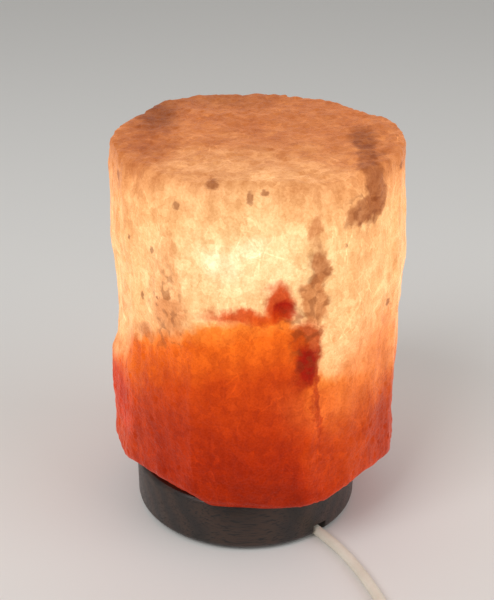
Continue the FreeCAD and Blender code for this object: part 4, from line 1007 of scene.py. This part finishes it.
def lofted(name, sides, sections):
    """A form drawn through sections, in mm along Z: (height, half width, half depth, squareness).
    A squareness of 2 is an ellipse, and a larger one is nearer to a rectangle."""
    bpy.ops.object.select_all(action="DESELECT")
    bpy.ops.mesh.primitive_circle_add(vertices=sides, radius=1, fill_type="NGON", location=(0, 0, 0))
    piece = bpy.context.object
    piece.name = name
    in_edit_mode(piece)
    for _ in sections[1:]:
        bpy.ops.mesh.extrude_region_move(TRANSFORM_OT_translate={"value": (0, 0, 1)})
    bpy.ops.mesh.select_all(action="SELECT")
    bpy.ops.mesh.normals_make_consistent(inside=False)
    bpy.ops.object.mode_set(mode="OBJECT")
    for vertex in piece.data.vertices:
        height, half_width, half_depth, squareness = sections[round(vertex.co.z)]
        angle = math.atan2(vertex.co.y, vertex.co.x)
        across, deep = math.cos(angle), math.sin(angle)
        vertex.co = (
            math.copysign(abs(across) ** (2 / squareness), across) * half_width * mm,
            math.copysign(abs(deep) ** (2 / squareness), deep) * half_depth * mm,
            height * mm,
        )
    return piece


strap = lofted("tie_strap", 96, [(height, 11.28, 6.5, 5) for height in (-4.5, -4.1, 4.1, 4.5)])
cut(strap, lofted("tie_room", 96, [(-6, 10.38, 5.6, 5), (6, 10.38, 5.6, 5)]))
tie_way, tie_circle = math.radians(-60), 0.02902
strap.rotation_euler = (math.radians(90), 0, tie_way)
strap.location = (
    coil_x + tie_circle * math.cos(tie_way), coil_y + tie_circle * math.sin(tie_way), 0.0067,
)
finished(strap, "light_unit", weave, bevel=0.2, smooth=60)
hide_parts("cord_tie")

# ---- Rocker switch
# An in-line switch in two shells of white plastic, held by two screws from below. The rocker turns
# on a steel pin and joins the two brass contacts under it.

white_plastic = mottled(
    "white_plastic", linear(226, 220, 205), linear(238, 233, 221), 90, (0.26, 0.4), bump=0.03,
)
switch_place = (-0.012, -0.253, 0)
lower = lofted("switch_lower_half", 96, [
    (0, 27.6, 10.6, 4.2), (0.3, 28.4, 11.4, 4.3), (1.2, 29, 12, 4.4), (6.6, 29, 12, 4.4),
    (7, 28.7, 11.7, 4.4),
])
cut(lower, lofted("switch_lower_room", 96, [(1.6, 27.2, 10.2, 4.2), (9, 27.2, 10.2, 4.2)]))
upper = lofted("switch_upper_half", 96, [
    (7, 28.7, 11.7, 4.4), (7.4, 29, 12, 4.4), (11.4, 29, 12, 4.4), (12.6, 28.5, 11.5, 4.3),
    (13.3, 27.5, 10.5, 4.2), (13.6, 26, 9, 4),
])
cut(upper, lofted("switch_upper_room", 96, [(5, 27.2, 10.2, 4.2), (12, 27.2, 10.2, 4.2)]))
cut(upper, lofted("switch_window", 64, [
    (9, 10.6, 6, 14), (13.1, 10.6, 6, 14), (13.7, 11.2, 6.6, 12), (15, 11.2, 6.6, 12),
]))
for side in (-1, 1):
    cut(lower, turned("switch_screw_hole", 32, [(2.3, -1), (2.3, 1.2)], x=17 * side, y=7.2 * side))
for half, node in ((lower, "switch_lower_shell"), (upper, "switch_upper_shell")):
    half.location = switch_place
    finished(half, "light_unit", white_plastic, bevel=0.15, smooth=35)
    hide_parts(node)

rocker_plastic = mottled("rocker_plastic", linear(232, 227, 214), linear(242, 238, 228), 90, (0.22, 0.34))
rocker = lofted("rocker_button", 64, [
    (-5.5, 9.2, 4.0, 12), (-5.1, 9.3, 4.1, 12), (5.1, 9.3, 4.1, 12), (5.5, 9.2, 4.0, 12),
])
half_length, half_height = 0.0093, 0.0041
for vertex in rocker.data.vertices:
    x, y, z = vertex.co
    narrowed = 1 - 0.55 * min(max((0.0002 - y) / 0.004, 0), 1)
    tall = 0.0024 + 0.0012 * abs(x) / half_length if y > 0 else 0.0025
    vertex.co = (x * narrowed, y / half_height * tall, z)
rocker.rotation_euler = (math.radians(90), math.radians(12), 0)
rocker.location = (switch_place[0], switch_place[1], 0.0105)
finished(rocker, "rocker", rocker_plastic, bevel=0.3, segments=3)
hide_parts("switch_rocker")
frame["nodes"]["rocker_pin"].data.materials[0] = zinc
frame["nodes"]["switch_screws"].data.materials[0] = zinc
frame["nodes"]["switch_contacts"].data.materials[0] = brass

# ---- Plug
# A flat two-pin plug moulded onto the cord, with a ribbed neck where the cord enters. The pins are
# plated, and their first half is sleeved.

plug_plastic = mottled(
    "plug_plastic", linear(224, 217, 200), linear(236, 230, 216), 90, (0.38, 0.52), bump=0.04,
)
neck = [(0, 3.2, 3.2, 2), (0.4, 3.7, 3.7, 2)]
for rib in range(5):
    start = 1.2 + 2.4 * rib
    proud = 3.8 + 0.09 * start
    for height, radius in (
        (start, proud), (start + 0.9, proud), (start + 1.1, proud - 0.8), (start + 2.0, proud - 0.8),
    ):
        neck.append((height, radius, radius, 2))
plug = lofted("plug_moulding", 96, neck + [
    (13.6, 5.2, 4.9, 2.2), (17, 7.5, 5.75, 2.6), (21, 11.6, 6.4, 3.0), (24.5, 14.6, 6.75, 3.4),
    (27.5, 15.9, 6.85, 3.8), (34, 16.9, 6.85, 4.0), (39.5, 17.65, 6.85, 4.2), (41.6, 17.6, 6.75, 4.2),
    (43.2, 17.2, 6.3, 4.2), (44, 16.5, 5.7, 4.2),
])
plug_place, pin_offset = (0.031, -0.170, 0.00685), 0.0093
plug.rotation_euler = (math.radians(90), 0, 0)
plug.location = plug_place
finished(plug, "light_unit", plug_plastic, smooth=32)
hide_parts("plug_body")

plated = mottled("plated_pin", (0.60, 0.58, 0.53, 1), (0.76, 0.74, 0.69, 1), 260, (0.16, 0.3), 1.0)
sleeve_plastic = mottled(
    "pin_sleeve_plastic", (0.012, 0.012, 0.012, 1), (0.022, 0.022, 0.022, 1), 500, (0.4, 0.55),
)
for name, side in (("left", -1), ("right", 1)):
    blade = turned("pin_" + name, 40, [
        (1.4, 36), (1.4, 54), (2, 54), (2, 61.6), (1.8, 62.5), (1.2, 63),
    ], x=0)
    cover = turned("pin_sleeve_" + name, 40, [
        (1.4, 44), (2, 44), (2, 53.9), (1.4, 54),
    ], closed=True, x=0)
    for piece, slot, material, node in (
        (blade, "pin_metal", plated, "plug_pins"),
        (cover, "pin_sleeve_black", sleeve_plastic, "pin_sleeves"),
    ):
        piece.rotation_euler = (math.radians(90), 0, 0)
        piece.location = Vector(plug_place) + Vector((side * pin_offset, 0, 0))
        finished(piece, "light_unit", material)
        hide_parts(node)
